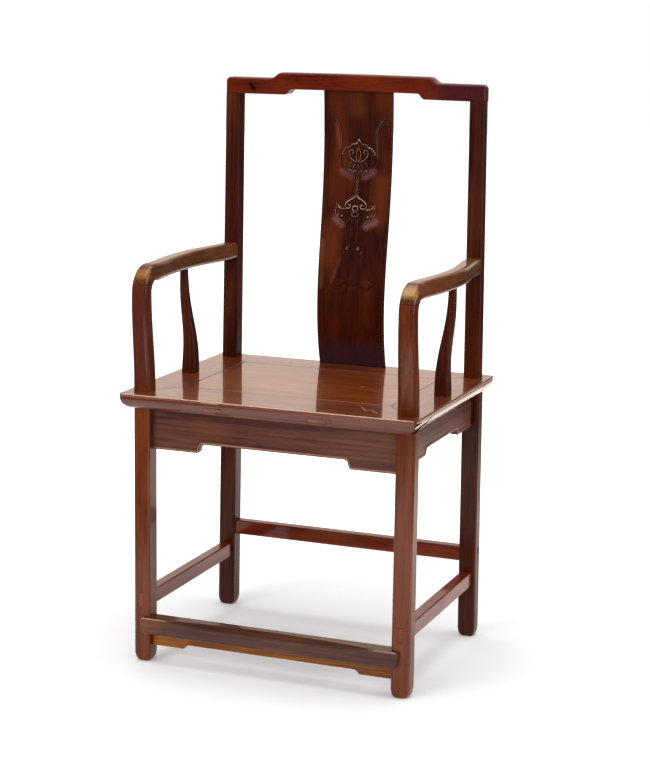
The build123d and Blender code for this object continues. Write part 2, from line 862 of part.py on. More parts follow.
for side, name in SIDES:
    with BuildPart() as side_stretcher:
        x = side * front_leg_spread
        block(
            (x - stretcher_width / 2, side_span_front, side_stretcher_top - stretcher_height),
            (x + stretcher_width / 2, side_span_back, side_stretcher_top),
        )
        fillet(side_stretcher.edges().filter_by(Axis.Y), stretcher_round)
        tenon(*stretcher_tenon_side(side))
    side_stretcher.part.label = f"side_stretcher_{name}"
    export_step(side_stretcher.part, f"parts/side_stretcher_{name}.step")

with BuildPart() as rear_stretcher:
    block(
        (-rear_foot_spread, rear_leg_y - stretcher_width / 2, rear_stretcher_top - stretcher_height),
        (rear_foot_spread, rear_leg_y + stretcher_width / 2, rear_stretcher_top),
    )
    fillet(rear_stretcher.edges().filter_by(Axis.X), stretcher_round)
    for side, _ in SIDES:
        add(rear_leg_blanks[side], mode=Mode.SUBTRACT)
    tenon(*rear_stretcher_tenon)
rear_stretcher.part.label = "rear_stretcher"
export_step(rear_stretcher.part, "parts/rear_stretcher.step")

with BuildPart() as foot_rail:
    block(
        (-leg_inside, foot_rail_front, foot_rail_bottom),
        (leg_inside, foot_rail_back, foot_rail_top),
    )
    # the front of the rail laps over the legs, with slanted ends
    with BuildSketch(Plane.XZ.offset(-foot_rail_front)) as lap:
        with BuildLine():
            lap_top = leg_inside + foot_rail_lap
            lap_bottom = lap_top - foot_rail_lap_slant
            Polyline(
                (-lap_bottom, foot_rail_bottom),
                (lap_bottom, foot_rail_bottom),
                (lap_top, foot_rail_top),
                (-lap_top, foot_rail_top),
                close=True,
            )
        make_face()
        fillet(lap.vertices(), foot_rail_lap_round)
    extrude(amount=-foot_rail_proud)
    # feet have worn the top hollow, most at the front and in the middle
    wear_radius = (leg_inside**2 + foot_rail_wear**2) / (2 * foot_rail_wear)
    lowest = (0, foot_rail_front, foot_rail_top - foot_rail_wear)
    with BuildSketch(Plane(lowest, x_dir=(1, 0, 0), z_dir=(0, -foot_rail_wear_width, -foot_rail_wear))):
        with Locations((0, wear_radius)):
            Circle(wear_radius)
    extrude(amount=foot_rail_depth, both=True, mode=Mode.SUBTRACT)
    fillet(foot_rail.faces().sort_by(Axis.Y)[0].edges(), foot_rail_round)
    tenon(*foot_rail_tenon)
    mortise(*foot_apron_top)
foot_rail.part.label = "foot_rail"
export_step(foot_rail.part, "parts/foot_rail.step")
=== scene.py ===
import math

import bpy
import numpy as np
from mathutils import Matrix, Vector
from mathutils.bvhtree import BVHTree


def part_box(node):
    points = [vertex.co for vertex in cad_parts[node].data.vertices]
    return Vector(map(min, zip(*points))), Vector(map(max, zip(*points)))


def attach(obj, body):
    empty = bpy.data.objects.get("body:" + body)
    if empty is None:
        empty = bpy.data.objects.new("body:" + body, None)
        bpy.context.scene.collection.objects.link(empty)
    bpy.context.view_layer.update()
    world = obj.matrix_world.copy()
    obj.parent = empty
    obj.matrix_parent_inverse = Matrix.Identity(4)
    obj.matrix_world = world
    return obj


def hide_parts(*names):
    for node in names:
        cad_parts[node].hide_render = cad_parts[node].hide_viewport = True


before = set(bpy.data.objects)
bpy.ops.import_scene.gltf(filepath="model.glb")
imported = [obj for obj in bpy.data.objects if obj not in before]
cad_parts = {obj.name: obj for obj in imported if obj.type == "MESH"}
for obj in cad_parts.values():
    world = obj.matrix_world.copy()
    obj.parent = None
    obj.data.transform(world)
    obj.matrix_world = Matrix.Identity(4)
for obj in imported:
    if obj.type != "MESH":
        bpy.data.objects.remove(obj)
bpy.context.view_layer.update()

# Looks of an official hat armchair: polished hardwood, a carved splat, beaded aprons and worn edges.
# Metres, apart from the tables of places, which say that they are in millimetres. +Z is up and the
# chair faces -Y. Left and right are those of someone who looks at its front.

bl_info = {
    "name": "Official Hat Armchair Finish",
    "version": (1, 0, 0),
    "blender": (4, 5, 0),
    "location": "View3D > Sidebar > Armchair",
    "description": "Dresses the joined hardwood frame of an official hat armchair",
    "category": "Object",
}

MM = 0.001
FOOT_LOW, FOOT_HIGH = (Vector(corner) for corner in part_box("foot_rail"))
SEAT_FRONT, SEAT_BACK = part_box("seat_rail_front")[0][1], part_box("seat_rail_rear")[1][1]


# ---------------------------------------------------------------- small tools


def linear(colour):
    """An sRGB hex colour as linear RGBA."""
    channels = [int(colour[i:i + 2], 16) / 255 for i in (1, 3, 5)]
    return [c / 12.92 if c <= 0.04045 else ((c + 0.055) / 1.055) ** 2.4 for c in channels] + [1.0]


def node(tree, kind, settings=None, values=None, links=None):
    """Adds a node with its settings, its inputs' values and the sockets that its inputs are linked to."""
    made = tree.nodes.new(kind)
    for name, value in (settings or {}).items():
        setattr(made, name, value)
    for name, value in (values or {}).items():
        made.inputs[name].default_value = value
    for name, socket in (links or {}).items():
        tree.links.new(socket, made.inputs[name])
    return made


def ramp_stops(ramp, stops):
    """Sets a colour ramp's places and colours, each a hex value or linear RGBA."""
    elements = ramp.color_ramp.elements
    while len(elements) < len(stops):
        elements.new(0.5)
    for element, (place, colour) in zip(elements, stops):
        element.position = place
        element.color = linear(colour) if isinstance(colour, str) else colour


def mesh_object(name, vertices, faces):
    """A mesh object at the origin, with its place in its mesh."""
    mesh = bpy.data.meshes.new(name)
    mesh.from_pydata([tuple(v) for v in vertices], [], [tuple(f) for f in faces])
    mesh.update()
    made = bpy.data.objects.new(name, mesh)
    bpy.context.scene.collection.objects.link(made)
    return made


# ---------------------------------------------------------------- timbers

# tones and finish of each kind of timber: its grain is dark, middle and light, and warm where the
# lacquer is thin; coat is how much clear gloss is left on it; wear, blotch and streaks say how strong
# its rubbed arrises, its warm patches and its fibres are
TIMBERS = {
    "crest": dict(dark="#300601", middle="#500f01", light="#722006", warm="#762501", coat=0.2, blotch=1.4),
    "post": dict(dark="#280a05", middle="#411407", light="#5b2810", warm="#692e0d", coat=0.1),
    "splat": dict(dark="#250503", middle="#3a0f03", light="#541d04", warm="#742f07", coat=0.35,
                  coat_roughness=0.12, wear=0.4, blotch=1.15, streaks=0.3),
    "panel": dict(dark="#5a2205", middle="#743208", light="#8e4a14", coat=1.0, coat_roughness=0.05,
                  streaks=0.35),
    "frame": dict(dark="#54200e", middle="#6c2e14", light="#864824", coat=1.0, coat_roughness=0.06,
                  streaks=0.4),
    "leg": dict(dark="#461706", middle="#62280c", light="#7c3910", coat=0.35),
    "arm": dict(dark="#3f1c0d", middle="#5d331b", light="#7e5332", coat=0.6),
    "support": dict(dark="#300d05", middle="#46180a", light="#632e12", coat=0.2),
    "apron": dict(dark="#3e1f1a", middle="#5a332a", light="#744b3e", coat=0.5, streaks=0.4),
    "foot_rail": dict(dark="#371810", middle="#4d2a20", light="#6b412e", coat=0.4),
    "foot_apron": dict(dark="#5e2c08", middle="#7f430d", light="#b36c15", warm="#c27e1c", coat=0.3,
                       streaks=1.2, blotch=1.4),
    # the bead's pale tones are a painted highlight along it
    "bead": dict(dark="#70422e", middle="#94624a", light="#b88c72", coat=1.0, streaks=0.4),
    "stretcher": dict(dark="#4e1306", middle="#70220a", light="#933b16", coat=0.6),
}

# the pieces that keep their solid's own mesh: (node, kind of timber, axis that its grain follows)
CUTS = (
    ("crest_rail", "crest", "x"),
    ("rear_leg_left", "post", "z"), ("rear_leg_right", "post", "z"),
    ("seat_panel", "panel", "x"),
    ("seat_rail_front", "frame", "x"), ("seat_rail_rear", "frame", "x"),
    ("seat_rail_left", "frame", "y"), ("seat_rail_right", "frame", "y"),
    ("seat_brace_left", "frame", "y"), ("seat_brace_right", "frame", "y"),
    ("front_leg_left", "leg", "z"), ("front_leg_right", "leg", "z"),
    ("arm_left", "arm", "y"), ("arm_right", "arm", "y"),
    ("arm_support_left", "support", "z"), ("arm_support_right", "support", "z"),
    ("apron_front", "apron", "x"), ("apron_rear", "apron", "x"),
    ("apron_left", "apron", "y"), ("apron_right", "apron", "y"),
    ("foot_rail", "foot_rail", "x"), ("foot_rail_apron", "foot_apron", "x"),
    ("rear_stretcher", "stretcher", "x"),
    ("side_stretcher_left", "stretcher", "y"), ("side_stretcher_right", "stretcher", "y"),
)


# ---------------------------------------------------------------- settings


class OHA_ChairSettings(bpy.types.PropertyGroup):
    """Sizes and colours of the armchair's finish."""

    carving_depth: bpy.props.FloatProperty(
        name="Carving depth", description="How far the carved ornament stands off the splat",
        default=2.6 * MM, min=0.3 * MM, max=4 * MM, unit="LENGTH",
    )
    bead_radius: bpy.props.FloatProperty(
        name="Bead radius", description="Radius of the bead along the aprons' lower edges",
        default=1.6 * MM, min=0.5 * MM, max=4 * MM, unit="LENGTH",
    )
    bead_inset: bpy.props.FloatProperty(
        name="Bead inset", description="How far the bead runs inside the aprons' lower edges",
        default=3.2 * MM, min=0, max=10 * MM, unit="LENGTH",
    )
    joint_line: bpy.props.FloatProperty(
        name="Joint line", description="Radius of the dark wax line that fills a joint",
        default=0.4 * MM, min=0.1 * MM, max=1.5 * MM, unit="LENGTH",
    )
    pore_length: bpy.props.FloatProperty(
        name="Pore length", description="Length of the wood's open pores",
        default=9 * MM, min=1 * MM, max=30 * MM, unit="LENGTH",
    )
    edge_wear: bpy.props.FloatProperty(
        name="Edge wear", description="How strongly the arrises are rubbed lighter",
        default=0.5, min=0, max=1, subtype="FACTOR",
    )
    wax_colour: bpy.props.FloatVectorProperty(
        name="Wax colour", description="Colour of the dark wax in the joints",
        default=linear("#220d08"), size=4, min=0, max=1, subtype="COLOR",
    )


for kind, finish in TIMBERS.items():
    OHA_ChairSettings.__annotations__[f"{kind}_tone"] = bpy.props.FloatVectorProperty(
        name=f"{kind.replace('_', ' ').capitalize()} tone",
        description=f"Middle tone of the wood: {kind.replace('_', ' ')}",
        default=linear(finish["middle"]), size=4, min=0, max=1, subtype="COLOR",
    )


class OHA_StageSettings(bpy.types.PropertyGroup):
    """Floor, lamps and camera."""

    floor_radius: bpy.props.FloatProperty(
        name="Floor radius", description="Radius of the round studio floor",
        default=14.0, min=2, max=50, unit="LENGTH",
    )
    paper_colour: bpy.props.FloatVectorProperty(
        name="Paper colour", description="Colour of the paper under the chair",
        default=linear("#f4f4f4"), size=4, min=0, max=1, subtype="COLOR",
    )
    room_colour: bpy.props.FloatVectorProperty(
        name="Room colour", description="Colour of the dark room that reflections meet round the paper",
        default=linear("#2a2622"), size=4, min=0, max=1, subtype="COLOR",
    )
    key_power: bpy.props.FloatProperty(
        name="Overhead lamp", description="Power of the large soft lamp over the chair in watts",
        default=40.0, min=0, unit="POWER",
    )
    side_power: bpy.props.FloatProperty(
        name="Side lamp", description="Power of the softbox on the right of the chair in watts",
        default=30.0, min=0, unit="POWER",
    )
    fill_power: bpy.props.FloatProperty(
        name="Front lamp", description="Power of the softbox in front of the chair in watts",
        default=54.0, min=0, unit="POWER",
    )
    air_light: bpy.props.FloatProperty(
        name="Air light", description="Strength of the even light from all sides",
        default=0.5, min=0, max=2,
    )
    floor_lift: bpy.props.FloatProperty(
        name="Floor lift", description="The paper's own brightness near the chair",
        default=0.14, min=0, max=1, subtype="FACTOR",
    )
    lens: bpy.props.FloatProperty(
        name="Lens", description="Focal length in millimetres on a 36 mm frame",
        default=95.42, min=20, max=300, unit="CAMERA",
    )


# ---------------------------------------------------------------- wood


# patterns are scaled in cells a metre, so 900 gives cells about 1.1 mm wide
FINE_SCALE = 900.0
# a pore's dark dash fills less than half of its cell's length
PORE_SPACING = 2.2
# how far from an arris the wood counts as rubbed
ARRIS_REACH = 1.6 * MM
# roughness where the lacquer is whole and where it is worn
LACQUER_ROUGHNESS = (0.28, 0.45)

CARVED_LINES_AND_CUTS = "carved_rubbing"
# (values of the carved lines and cuts between which a tone comes in, the tone, its strength): the cuts get
# darker, and the lines' lit flanks get a painted highlight
CARVED_TONES = (
    ((-0.15, -0.6), "#160502", 0.9),
    ((0.42, 0.9), "#e8c0a8", 0.95),
)
# the painted highlight lies on the flanks of the carved lines that face left, forward and up, towards the
# light
LIT_FLANK = (-0.35, -0.75, 0.55)


def near_line(tree, place, start, end, half_width, fade, ragged):
    """1 within half_width of a straight line, falling to 0 over fade, with an edge as uneven as ragged.

    All measures are in millimetres."""
    start, end = Vector(start) * MM, Vector(end) * MM
    run = end - start
    away = node(tree, "ShaderNodeVectorMath", {"operation": "SUBTRACT"}, {1: start}, {0: place}).outputs[0]
    share = node(tree, "ShaderNodeVectorMath", {"operation": "DOT_PRODUCT"},
                 {1: run / max(run.length_squared, 1e-9)}, {0: away}).outputs["Value"]
    # adding nothing, only for its clamp: past the line's ends its nearest point is the end
    share = node(tree, "ShaderNodeMath", {"operation": "ADD", "use_clamp": True}, {1: 0.0},
                 {0: share}).outputs[0]
    foot = node(tree, "ShaderNodeVectorMath", {"operation": "SCALE"}, {0: run}, {"Scale": share}).outputs[0]
    away = node(tree, "ShaderNodeVectorMath", {"operation": "DISTANCE"}, None,
                {0: away, 1: foot}).outputs["Value"]
    # nibbles about 4 mm long
    uneven = node(tree, "ShaderNodeTexNoise", None, {"Scale": 260.0, "Detail": 3.0},
                  {"Vector": place}).outputs["Fac"]
    away = node(tree, "ShaderNodeMath", {"operation": "MULTIPLY_ADD"}, {1: 2 * ragged * MM},
                {0: uneven, 2: away}).outputs[0]
    first = (half_width + ragged) * MM
    return node(tree, "ShaderNodeMapRange", {"interpolation_type": "SMOOTHSTEP"},
                {"From Min": first, "From Max": first + fade * MM, "To Min": 1.0, "To Max": 0.0},
                {"Value": away}).outputs[0]


def add_marks(tree, body, place, marks, shown=None):
    """Mixes marks into a timber's colour, all over it or only where shown is 1."""
    for colour, strength, half_width, fade, ragged, start, end in marks:
        mark = near_line(tree, place, start, end, half_width, fade, ragged)
        if shown is not None:
            mark = node(tree, "ShaderNodeMath", {"operation": "MULTIPLY"}, None,
                        {0: mark, 1: shown}).outputs[0]
        mark = node(tree, "ShaderNodeMath", {"operation": "MULTIPLY"}, {1: strength}, {0: mark}).outputs[0]
        body = node(tree, "ShaderNodeMix", {"data_type": "RGBA"}, {"B": linear(colour)},
                    {"Factor": mark, "A": body}).outputs["Result"]
    return body


def highlight_and_darken_carving(tree, body, normal, patchy):
    """Darkens the carving's cuts and paints a pale highlight on the flanks of its lines that face the light.
    """
    lines_and_cuts = node(tree, "ShaderNodeAttribute", {"attribute_name": CARVED_LINES_AND_CUTS}).outputs["Fac"]
    uneven = node(tree, "ShaderNodeMapRange", None,
                  {"From Min": 0.38, "From Max": 0.56, "To Min": 0.25, "To Max": 1.0},
                  {"Value": patchy}).outputs[0]
    # only the lines' painted highlight depends on the way that they face; the cuts are dark all round
    flank = node(tree, "ShaderNodeVectorMath", {"operation": "DOT_PRODUCT"}, {1: LIT_FLANK}, {0: normal})
    lit = node(tree, "ShaderNodeMapRange", None,
               {"From Min": 0.35, "From Max": 0.85, "To Min": 0.1, "To Max": 1.0},
               {"Value": flank.outputs["Value"]}).outputs[0]
    lit = node(tree, "ShaderNodeMath", {"operation": "MULTIPLY"}, None, {0: lit, 1: uneven}).outputs[0]
    for (first, last), colour, strength in CARVED_TONES:
        amount = node(tree, "ShaderNodeMapRange", {"interpolation_type": "SMOOTHSTEP"},
                      {"From Min": first, "From Max": last, "To Min": 0.0, "To Max": strength},
                      {"Value": lines_and_cuts}).outputs[0]
        amount = node(tree, "ShaderNodeMath", {"operation": "MULTIPLY"}, None,
                      {0: amount, 1: lit if first > 0 else uneven}).outputs[0]
        body = node(tree, "ShaderNodeMix", {"data_type": "RGBA"}, {"B": linear(colour)},
                    {"Factor": amount, "A": body}).outputs["Result"]
    return body


def wood(name, along, dark, middle, light, warm="#8a4a1c", streaks=0.7, blotch=1.0, coat=0.8,
         coat_roughness=0.08, wear=1.0, offset=(0.0, 0.0, 0.0), carved=False, marks=()):
    """Old hardwood, planed, oiled and rubbed with clear lacquer, with its grain along an axis of the chair.

    The eye gets a deep red-brown body with long darker streaks, short open pores, cloudy
    changes of tone, arrises that handling has rubbed paler, and a soft clear gloss. On a carved
    board the cuts are darker and the raised lines carry a painted highlight on their flanks that
    face the light."""
    settings = bpy.context.scene.oha_chair
    material = bpy.data.materials.new(name)
    material.use_nodes = True
    tree = material.node_tree
    tree.nodes.clear()
    place = node(tree, "ShaderNodeTexCoord").outputs["Object"]

    # the pattern is stretched along the grain: one unit of it is 1 m across and stretch metres along
    def grain(stretch, shift):
        scale = [1.0, 1.0, 1.0]
        scale["xyz".index(along)] = 1.0 / stretch
        return node(tree, "ShaderNodeMapping", None, {
            "Location": tuple(a + b for a, b in zip(offset, shift)), "Scale": scale,
        }, {"Vector": place}).outputs[0]

    # clouds of tone, about 40 mm wide and 190 mm long
    clouds = node(tree, "ShaderNodeTexNoise", None, {"Scale": 26.0, "Detail": 3.0, "Roughness": 0.55},
                  {"Vector": grain(5.0, (0, 0, 0))}).outputs["Fac"]
    # growth layers: streaks about 5 mm apart and some 200 mm long, with fibres 1 mm wide inside them
    layers = node(tree, "ShaderNodeTexNoise", None,
                  {"Scale": 210.0, "Detail": 4.0, "Roughness": 0.62, "Distortion": 0.35},
                  {"Vector": grain(42.0, (0.3, 0.1, 0.7))}).outputs["Fac"]
    fibres = node(tree, "ShaderNodeTexNoise", None, {"Scale": FINE_SCALE, "Detail": 2.0, "Roughness": 0.6},
                  {"Vector": grain(36.0, (0.9, 0.4, 0.2))}).outputs["Fac"]
    # open pores: dark dashes under 1 mm wide, drawn coarser than real ones so that they show
    pores = node(tree, "ShaderNodeTexVoronoi", {"feature": "F1"},
                 {"Scale": FINE_SCALE, "Randomness": 1.0},
                 {"Vector": grain(settings.pore_length * FINE_SCALE * PORE_SPACING, (0.2, 0.6, 0.5))})
    pore_mask = node(tree, "ShaderNodeMapRange", {"interpolation_type": "SMOOTHSTEP"},
                     {"From Min": 0.10, "From Max": 0.32, "To Min": 1.0, "To Max": 0.0},
                     {"Value": pores.outputs["Distance"]}).outputs[0]

    cloud_ramp = node(tree, "ShaderNodeValToRGB", None, None, {"Fac": clouds})
    ramp_stops(cloud_ramp, ((0.30, dark), (0.52, middle), (0.72, light)))
    layer_ramp = node(tree, "ShaderNodeValToRGB", None, None, {"Fac": layers})
    ramp_stops(layer_ramp, ((0.36, dark), (0.5, middle), (0.68, light)))
    body = node(tree, "ShaderNodeMix", {"data_type": "RGBA"}, {"Factor": 0.5},
                {"A": cloud_ramp.outputs["Color"], "B": layer_ramp.outputs["Color"]})
    # warm orange where the lacquer is thin, in patches about 70 mm wide and 250 mm long
    warm_mask = node(tree, "ShaderNodeTexNoise", None, {"Scale": 14.0, "Detail": 2.0, "Roughness": 0.5},
                     {"Vector": grain(3.5, (0.5, 0.9, 0.1))}).outputs["Fac"]
    warm_amount = node(tree, "ShaderNodeMapRange", None,
                       {"From Min": 0.52, "From Max": 0.75, "To Min": 0.0, "To Max": 0.55 * blotch},
                       {"Value": warm_mask}).outputs[0]
    body = node(tree, "ShaderNodeMix", {"data_type": "RGBA"}, {"B": linear(warm)},
                {"Factor": warm_amount, "A": body.outputs["Result"]})
    fibre_shade = node(tree, "ShaderNodeMapRange", None, {
        "From Min": 0.3, "From Max": 0.7, "To Min": 1.0 - 0.28 * streaks, "To Max": 1.0 + 0.22 * streaks,
    }, {"Value": fibres}).outputs[0]
    pore_shade = node(tree, "ShaderNodeMapRange", None, {"To Min": 1.0, "To Max": 0.72},
                      {"Value": pore_mask}).outputs[0]
    shade = node(tree, "ShaderNodeMath", {"operation": "MULTIPLY"}, None,
                 {0: fibre_shade, 1: pore_shade}).outputs[0]
    body = node(tree, "ShaderNodeVectorMath", {"operation": "SCALE"}, None,
                {0: body.outputs["Result"], "Scale": shade}).outputs[0]

    # arrises rubbed by hands and cloths, in patches: where the rounded normal leaves the face's own
    flat = node(tree, "ShaderNodeNewGeometry").outputs["Normal"]
    rounded = flat
    if not carved:
        # the rounding would smooth a carving away, and the carved board has round arrises of its own
        rounded = node(tree, "ShaderNodeBevel", {"samples": 6}, {"Radius": ARRIS_REACH}).outputs["Normal"]
    agree = node(tree, "ShaderNodeVectorMath", {"operation": "DOT_PRODUCT"}, None,
                 {0: rounded, 1: flat}).outputs["Value"]
    patchy = node(tree, "ShaderNodeTexNoise", None, {"Scale": 55.0, "Detail": 3.0},
                  {"Vector": place}).outputs["Fac"]
    rubbed = node(tree, "ShaderNodeMapRange", None,
                  {"From Min": 0.995, "From Max": 0.88, "To Min": 0.0, "To Max": settings.edge_wear * wear},
                  {"Value": agree}).outputs[0]
    patches = node(tree, "ShaderNodeMapRange", None, {"From Min": 0.35, "From Max": 0.6},
                   {"Value": patchy}).outputs[0]
    rubbed = node(tree, "ShaderNodeMath", {"operation": "MULTIPLY"}, None,
                  {0: rubbed, 1: patches}).outputs[0]
    body = node(tree, "ShaderNodeMix", {"data_type": "RGBA"}, {"B": linear(light)},
                {"Factor": rubbed, "A": body}).outputs["Result"]
    if carved:
        body = highlight_and_darken_carving(tree, body, flat, patchy)
        # the board bends back and forth, so its marks are placed across and up only, on its front
        face = node(tree, "ShaderNodeVectorMath", {"operation": "MULTIPLY"}, {1: (1, 0, 1)}, {0: place})
        facing = node(tree, "ShaderNodeSeparateXYZ", None, None, {0: flat}).outputs["Y"]
        in_front = node(tree, "ShaderNodeMapRange", None, {"From Min": -0.1, "From Max": -0.5},
                        {"Value": facing})
        body = add_marks(tree, body, face.outputs[0], marks, in_front.outputs[0])
    else:
        body = add_marks(tree, body, place, marks)

    gloss = node(tree, "ShaderNodeTexNoise", None, {"Scale": 30.0, "Detail": 4.0, "Roughness": 0.6},
                 {"Vector": grain(4.0, (0.7, 0.2, 0.9))}).outputs["Fac"]
    whole, worn = LACQUER_ROUGHNESS
    rough = node(tree, "ShaderNodeMapRange", None,
                 {"From Min": 0.3, "From Max": 0.7, "To Min": whole, "To Max": worn},
                 {"Value": gloss}).outputs[0]
    height = node(tree, "ShaderNodeMath", {"operation": "MULTIPLY_ADD"}, {1: -0.6},
                  {0: pore_mask, 2: fibres}).outputs[0]
    relief = node(tree, "ShaderNodeBump", None, {"Strength": 0.25, "Distance": 0.15 * MM},
                  {"Height": height, "Normal": rounded}).outputs[0]
    # the wood itself hardly shines, and the clear coat over it does
    shader = node(tree, "ShaderNodeBsdfPrincipled", None,
                  {"IOR": 1.5, "Coat Weight": coat, "Coat Roughness": coat_roughness, "Coat IOR": 1.5,
                   "Specular IOR Level": 0.15},
                  {"Base Color": body, "Roughness": rough, "Normal": relief, "Coat Normal": rounded})
    node(tree, "ShaderNodeOutputMaterial", None, None, {"Surface": shader.outputs[0]})
    return material


def finish_of(kind):
    """Tones and finish of a kind of timber, with its middle tone from the settings."""
    return {**TIMBERS[kind], "middle": tuple(getattr(bpy.context.scene.oha_chair, f"{kind}_tone"))}


# marks on a timber, each along a straight line: wear, damage and tone that years of use have left, and also
# painted
# highlights and painted shade: (colour, strength, half width, fade, raggedness, start, end), in millimetres
MARKS = {
    # a dark right end, a dark upper edge on the left, and knots
    "crest_rail": (
        ("#34101a", 0.7, 50, 60, 8, (240, 170, 1085), (300, 170, 1085)),
        ("#3c1210", 0.7, 4, 16, 4, (-290, 170, 1090), (-110, 180, 1096)),
        ("#140704", 0.95, 2.6, 4, 2.4, (-213, 189, 1072), (-207, 189, 1063)),
        ("#240c08", 0.7, 1.4, 4, 1.6, (-4, 189, 1088), (4, 189, 1082)),
        ("#2e0e08", 0.6, 1.2, 6, 1.8, (20, 189, 1082), (34, 189, 1080)),
        ("#2e0e08", 0.6, 1.0, 5, 1.8, (52, 189, 1074), (84, 189, 1078)),
    ),
    # a darker foot, painted highlights in the scooped ground round the carving, orange clouds and a rubbed
    # left edge; places are across and up on the board's face, so their middle number isn't used
    "splat": (
        ("#3a2430", 0.6, 20, 46, 8, (-70, 0, 525), (70, 0, 525)),
        # painted highlights where the scooped ground beside the carving faces the light
        ("#80545a", 0.3, 0.1, 12, 6, (-30, 0, 908), (-12, 0, 899)),
        ("#80545a", 0.45, 0.1, 12, 6, (18, 0, 899), (34, 0, 908)),
        ("#8a5e66", 0.45, 0.1, 11, 6, (-40, 0, 814), (-26, 0, 804)),
        ("#8a5e66", 0.55, 0.1, 12, 6, (26, 0, 803), (44, 0, 812)),
        ("#80483c", 0.3, 0.1, 7, 2, (-44, 0, 1000), (-36, 0, 955)),
        ("#80483c", 0.25, 0.1, 7, 2, (40, 0, 990), (42, 0, 940)),
        ("#80483c", 0.3, 0.1, 6, 2, (-26, 0, 735), (-40, 0, 690)),
        ("#7a3a10", 0.35, 1, 26, 6, (0, 0, 1052), (2, 0, 1030)),
        ("#7c3406", 0.3, 1, 30, 8, (-44, 0, 800), (-42, 0, 740)),
        ("#7c3406", 0.4, 1, 30, 8, (52, 0, 890), (48, 0, 820)),
        ("#8a5426", 0.25, 1, 6, 4, (-64, 0, 770), (-62, 0, 680)),
    ),
    # a bright speck
    "seat_panel": (
        ("#d8a878", 0.9, 1.6, 1.2, 0.6, (96, 14, 523), (98, 16, 523)),
    ),
    # painted shade on the undercut, a painted highlight along the lip, one scratch with two bends, two nicks
    # and a scraped lip
    "seat_rail_front": (
        # painted shade on the rounded face under the lip, then a painted highlight along the lip's arris
        ("#4c1002", 0.65, 8, 5, 1, (-290, -230, 506), (290, -230, 506)),
        ("#e0bca4", 0.75, 0.4, 0.9, 0.5, (-290, -234.6, 522.2), (290, -234.6, 522.2)),
        ("#e8c4a8", 0.85, 0.4, 0.7, 0.4, (160, -158, 523), (176, -182, 523)),
        ("#e8c4a8", 0.85, 0.4, 0.7, 0.3, (176, -182, 523), (184, -174, 523)),
        ("#e8c4a8", 0.85, 0.4, 0.7, 0.3, (184, -174, 523), (202, -194, 523)),
        ("#140502", 0.95, 0.8, 1.4, 1.0, (-91, -231, 512), (-87, -228, 505)),
        ("#140502", 0.95, 1.0, 1.6, 1.0, (126, -231, 512), (129, -228, 504)),
        ("#c08a6a", 0.7, 0.8, 1.5, 1.2, (-122, -235, 520), (-90, -235, 520)),
    ),
    # painted highlights on the elbows and along the arms' tops, and a darker upright below the left one
    "arm_left": (
        # painted highlight on the elbow, then along the arm's top
        ("#a87434", 0.45, 3, 14, 6, (-268, -200, 743), (-250, -200, 743)),
        ("#94622c", 0.4, 3, 10, 6, (-262, -130, 757), (-268, 10, 757)),
    ),
    "arm_right": (
        ("#b98838", 0.6, 3, 14, 6, (250, -200, 743), (268, -200, 743)),
        ("#a06c2e", 0.45, 3, 10, 6, (262, -130, 757), (268, 10, 757)),
    ),
    "front_leg_left": (
        ("#4c1c1e", 0.55, 30, 16, 5, (-259, -200, 570), (-259, -200, 690)),
    ),
    # a lip that shoes have rubbed, with a painted highlight along it
    "foot_rail": (
        # painted highlight along the lip
        ("#c8a898", 0.85, 0.9, 1.6, 0.7, (FOOT_LOW.x / MM, FOOT_LOW.y / MM, FOOT_HIGH.z / MM),
         (FOOT_HIGH.x / MM, FOOT_LOW.y / MM, FOOT_HIGH.z / MM)),
    ),
    # a painted highlight along a splinter's bed, a dark lip and a painted highlight along the moulding
    "seat_rail_right": (
        # painted highlight along the splinter's bed
        ("#a87c60", 0.6, 1.4, 2.0, 1.6, (286, -224, 510), (287, -165, 513)),
        ("#6a2c12", 0.55, 2, 3, 1, (290, -235, 519), (290, 235, 519)),
        # painted highlight along the moulding
        ("#b08468", 0.5, 4, 5, 2, (283, -230, 505), (283, 235, 505)),
    ),
}


class OHA_OT_finish_timbers(bpy.types.Operator):
    """Give each timber of the chair its own cut of rosewood, rubbed with clear lacquer"""

    bl_idname = "oha.finish_timbers"
    bl_label = "Finish timbers"

    def execute(self, context):
        for number, (name, kind, along) in enumerate(CUTS):
            # each timber is its own cut, so its pattern starts elsewhere
            cut = (0.37 * number, 0.53 * number, 0.71 * number)
            material = wood(f"lacquered_rosewood_{name}", along, offset=cut, marks=MARKS.get(name, ()),
                            **finish_of(kind))
            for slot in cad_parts[name].material_slots:
                slot.material = material
        return {"FINISHED"}


# ---------------------------------------------------------------- carved splat

# the ornament is a pendant in low relief: a cloud head hung between two ribbons, a cord, a winged
# cloud clasp and a tassel. Places are millimetres from the ornament's own axis, and above the floor;
# the axis stands off the board's middle by (height, shift).
ORNAMENT_AXIS = ((760, 0.3), (950, 4.0))
CARVED_LOW, CARVED_HIGH, CARVED_HALF_WIDTH = 668, 1016, 56
CARVING_GRID = 0.7
# how far from a line or an edge the carver's tool still cuts, and a distance past that
CARVING_REACH, OUT_OF_REACH = 9, 99.0
# the ground's scoop round a field: its depth as a share of the field's height, where it is deepest
# and how wide it is
SCOOP_DEPTH, SCOOP_PLACE, SCOOP_WIDTH = 1.1, 1.0, 4.2
# the V beside a line: its depth as a share of the carving's, where it is deepest and how wide it is;
# round a knob it lies a little further out
CUT_DEPTH, CUT_PLACE, CUT_WIDTH = 0.35, 0.7, 0.8
KNOB_CUT_PLACE, KNOB_CUT_WIDTH = 0.8, 0.9

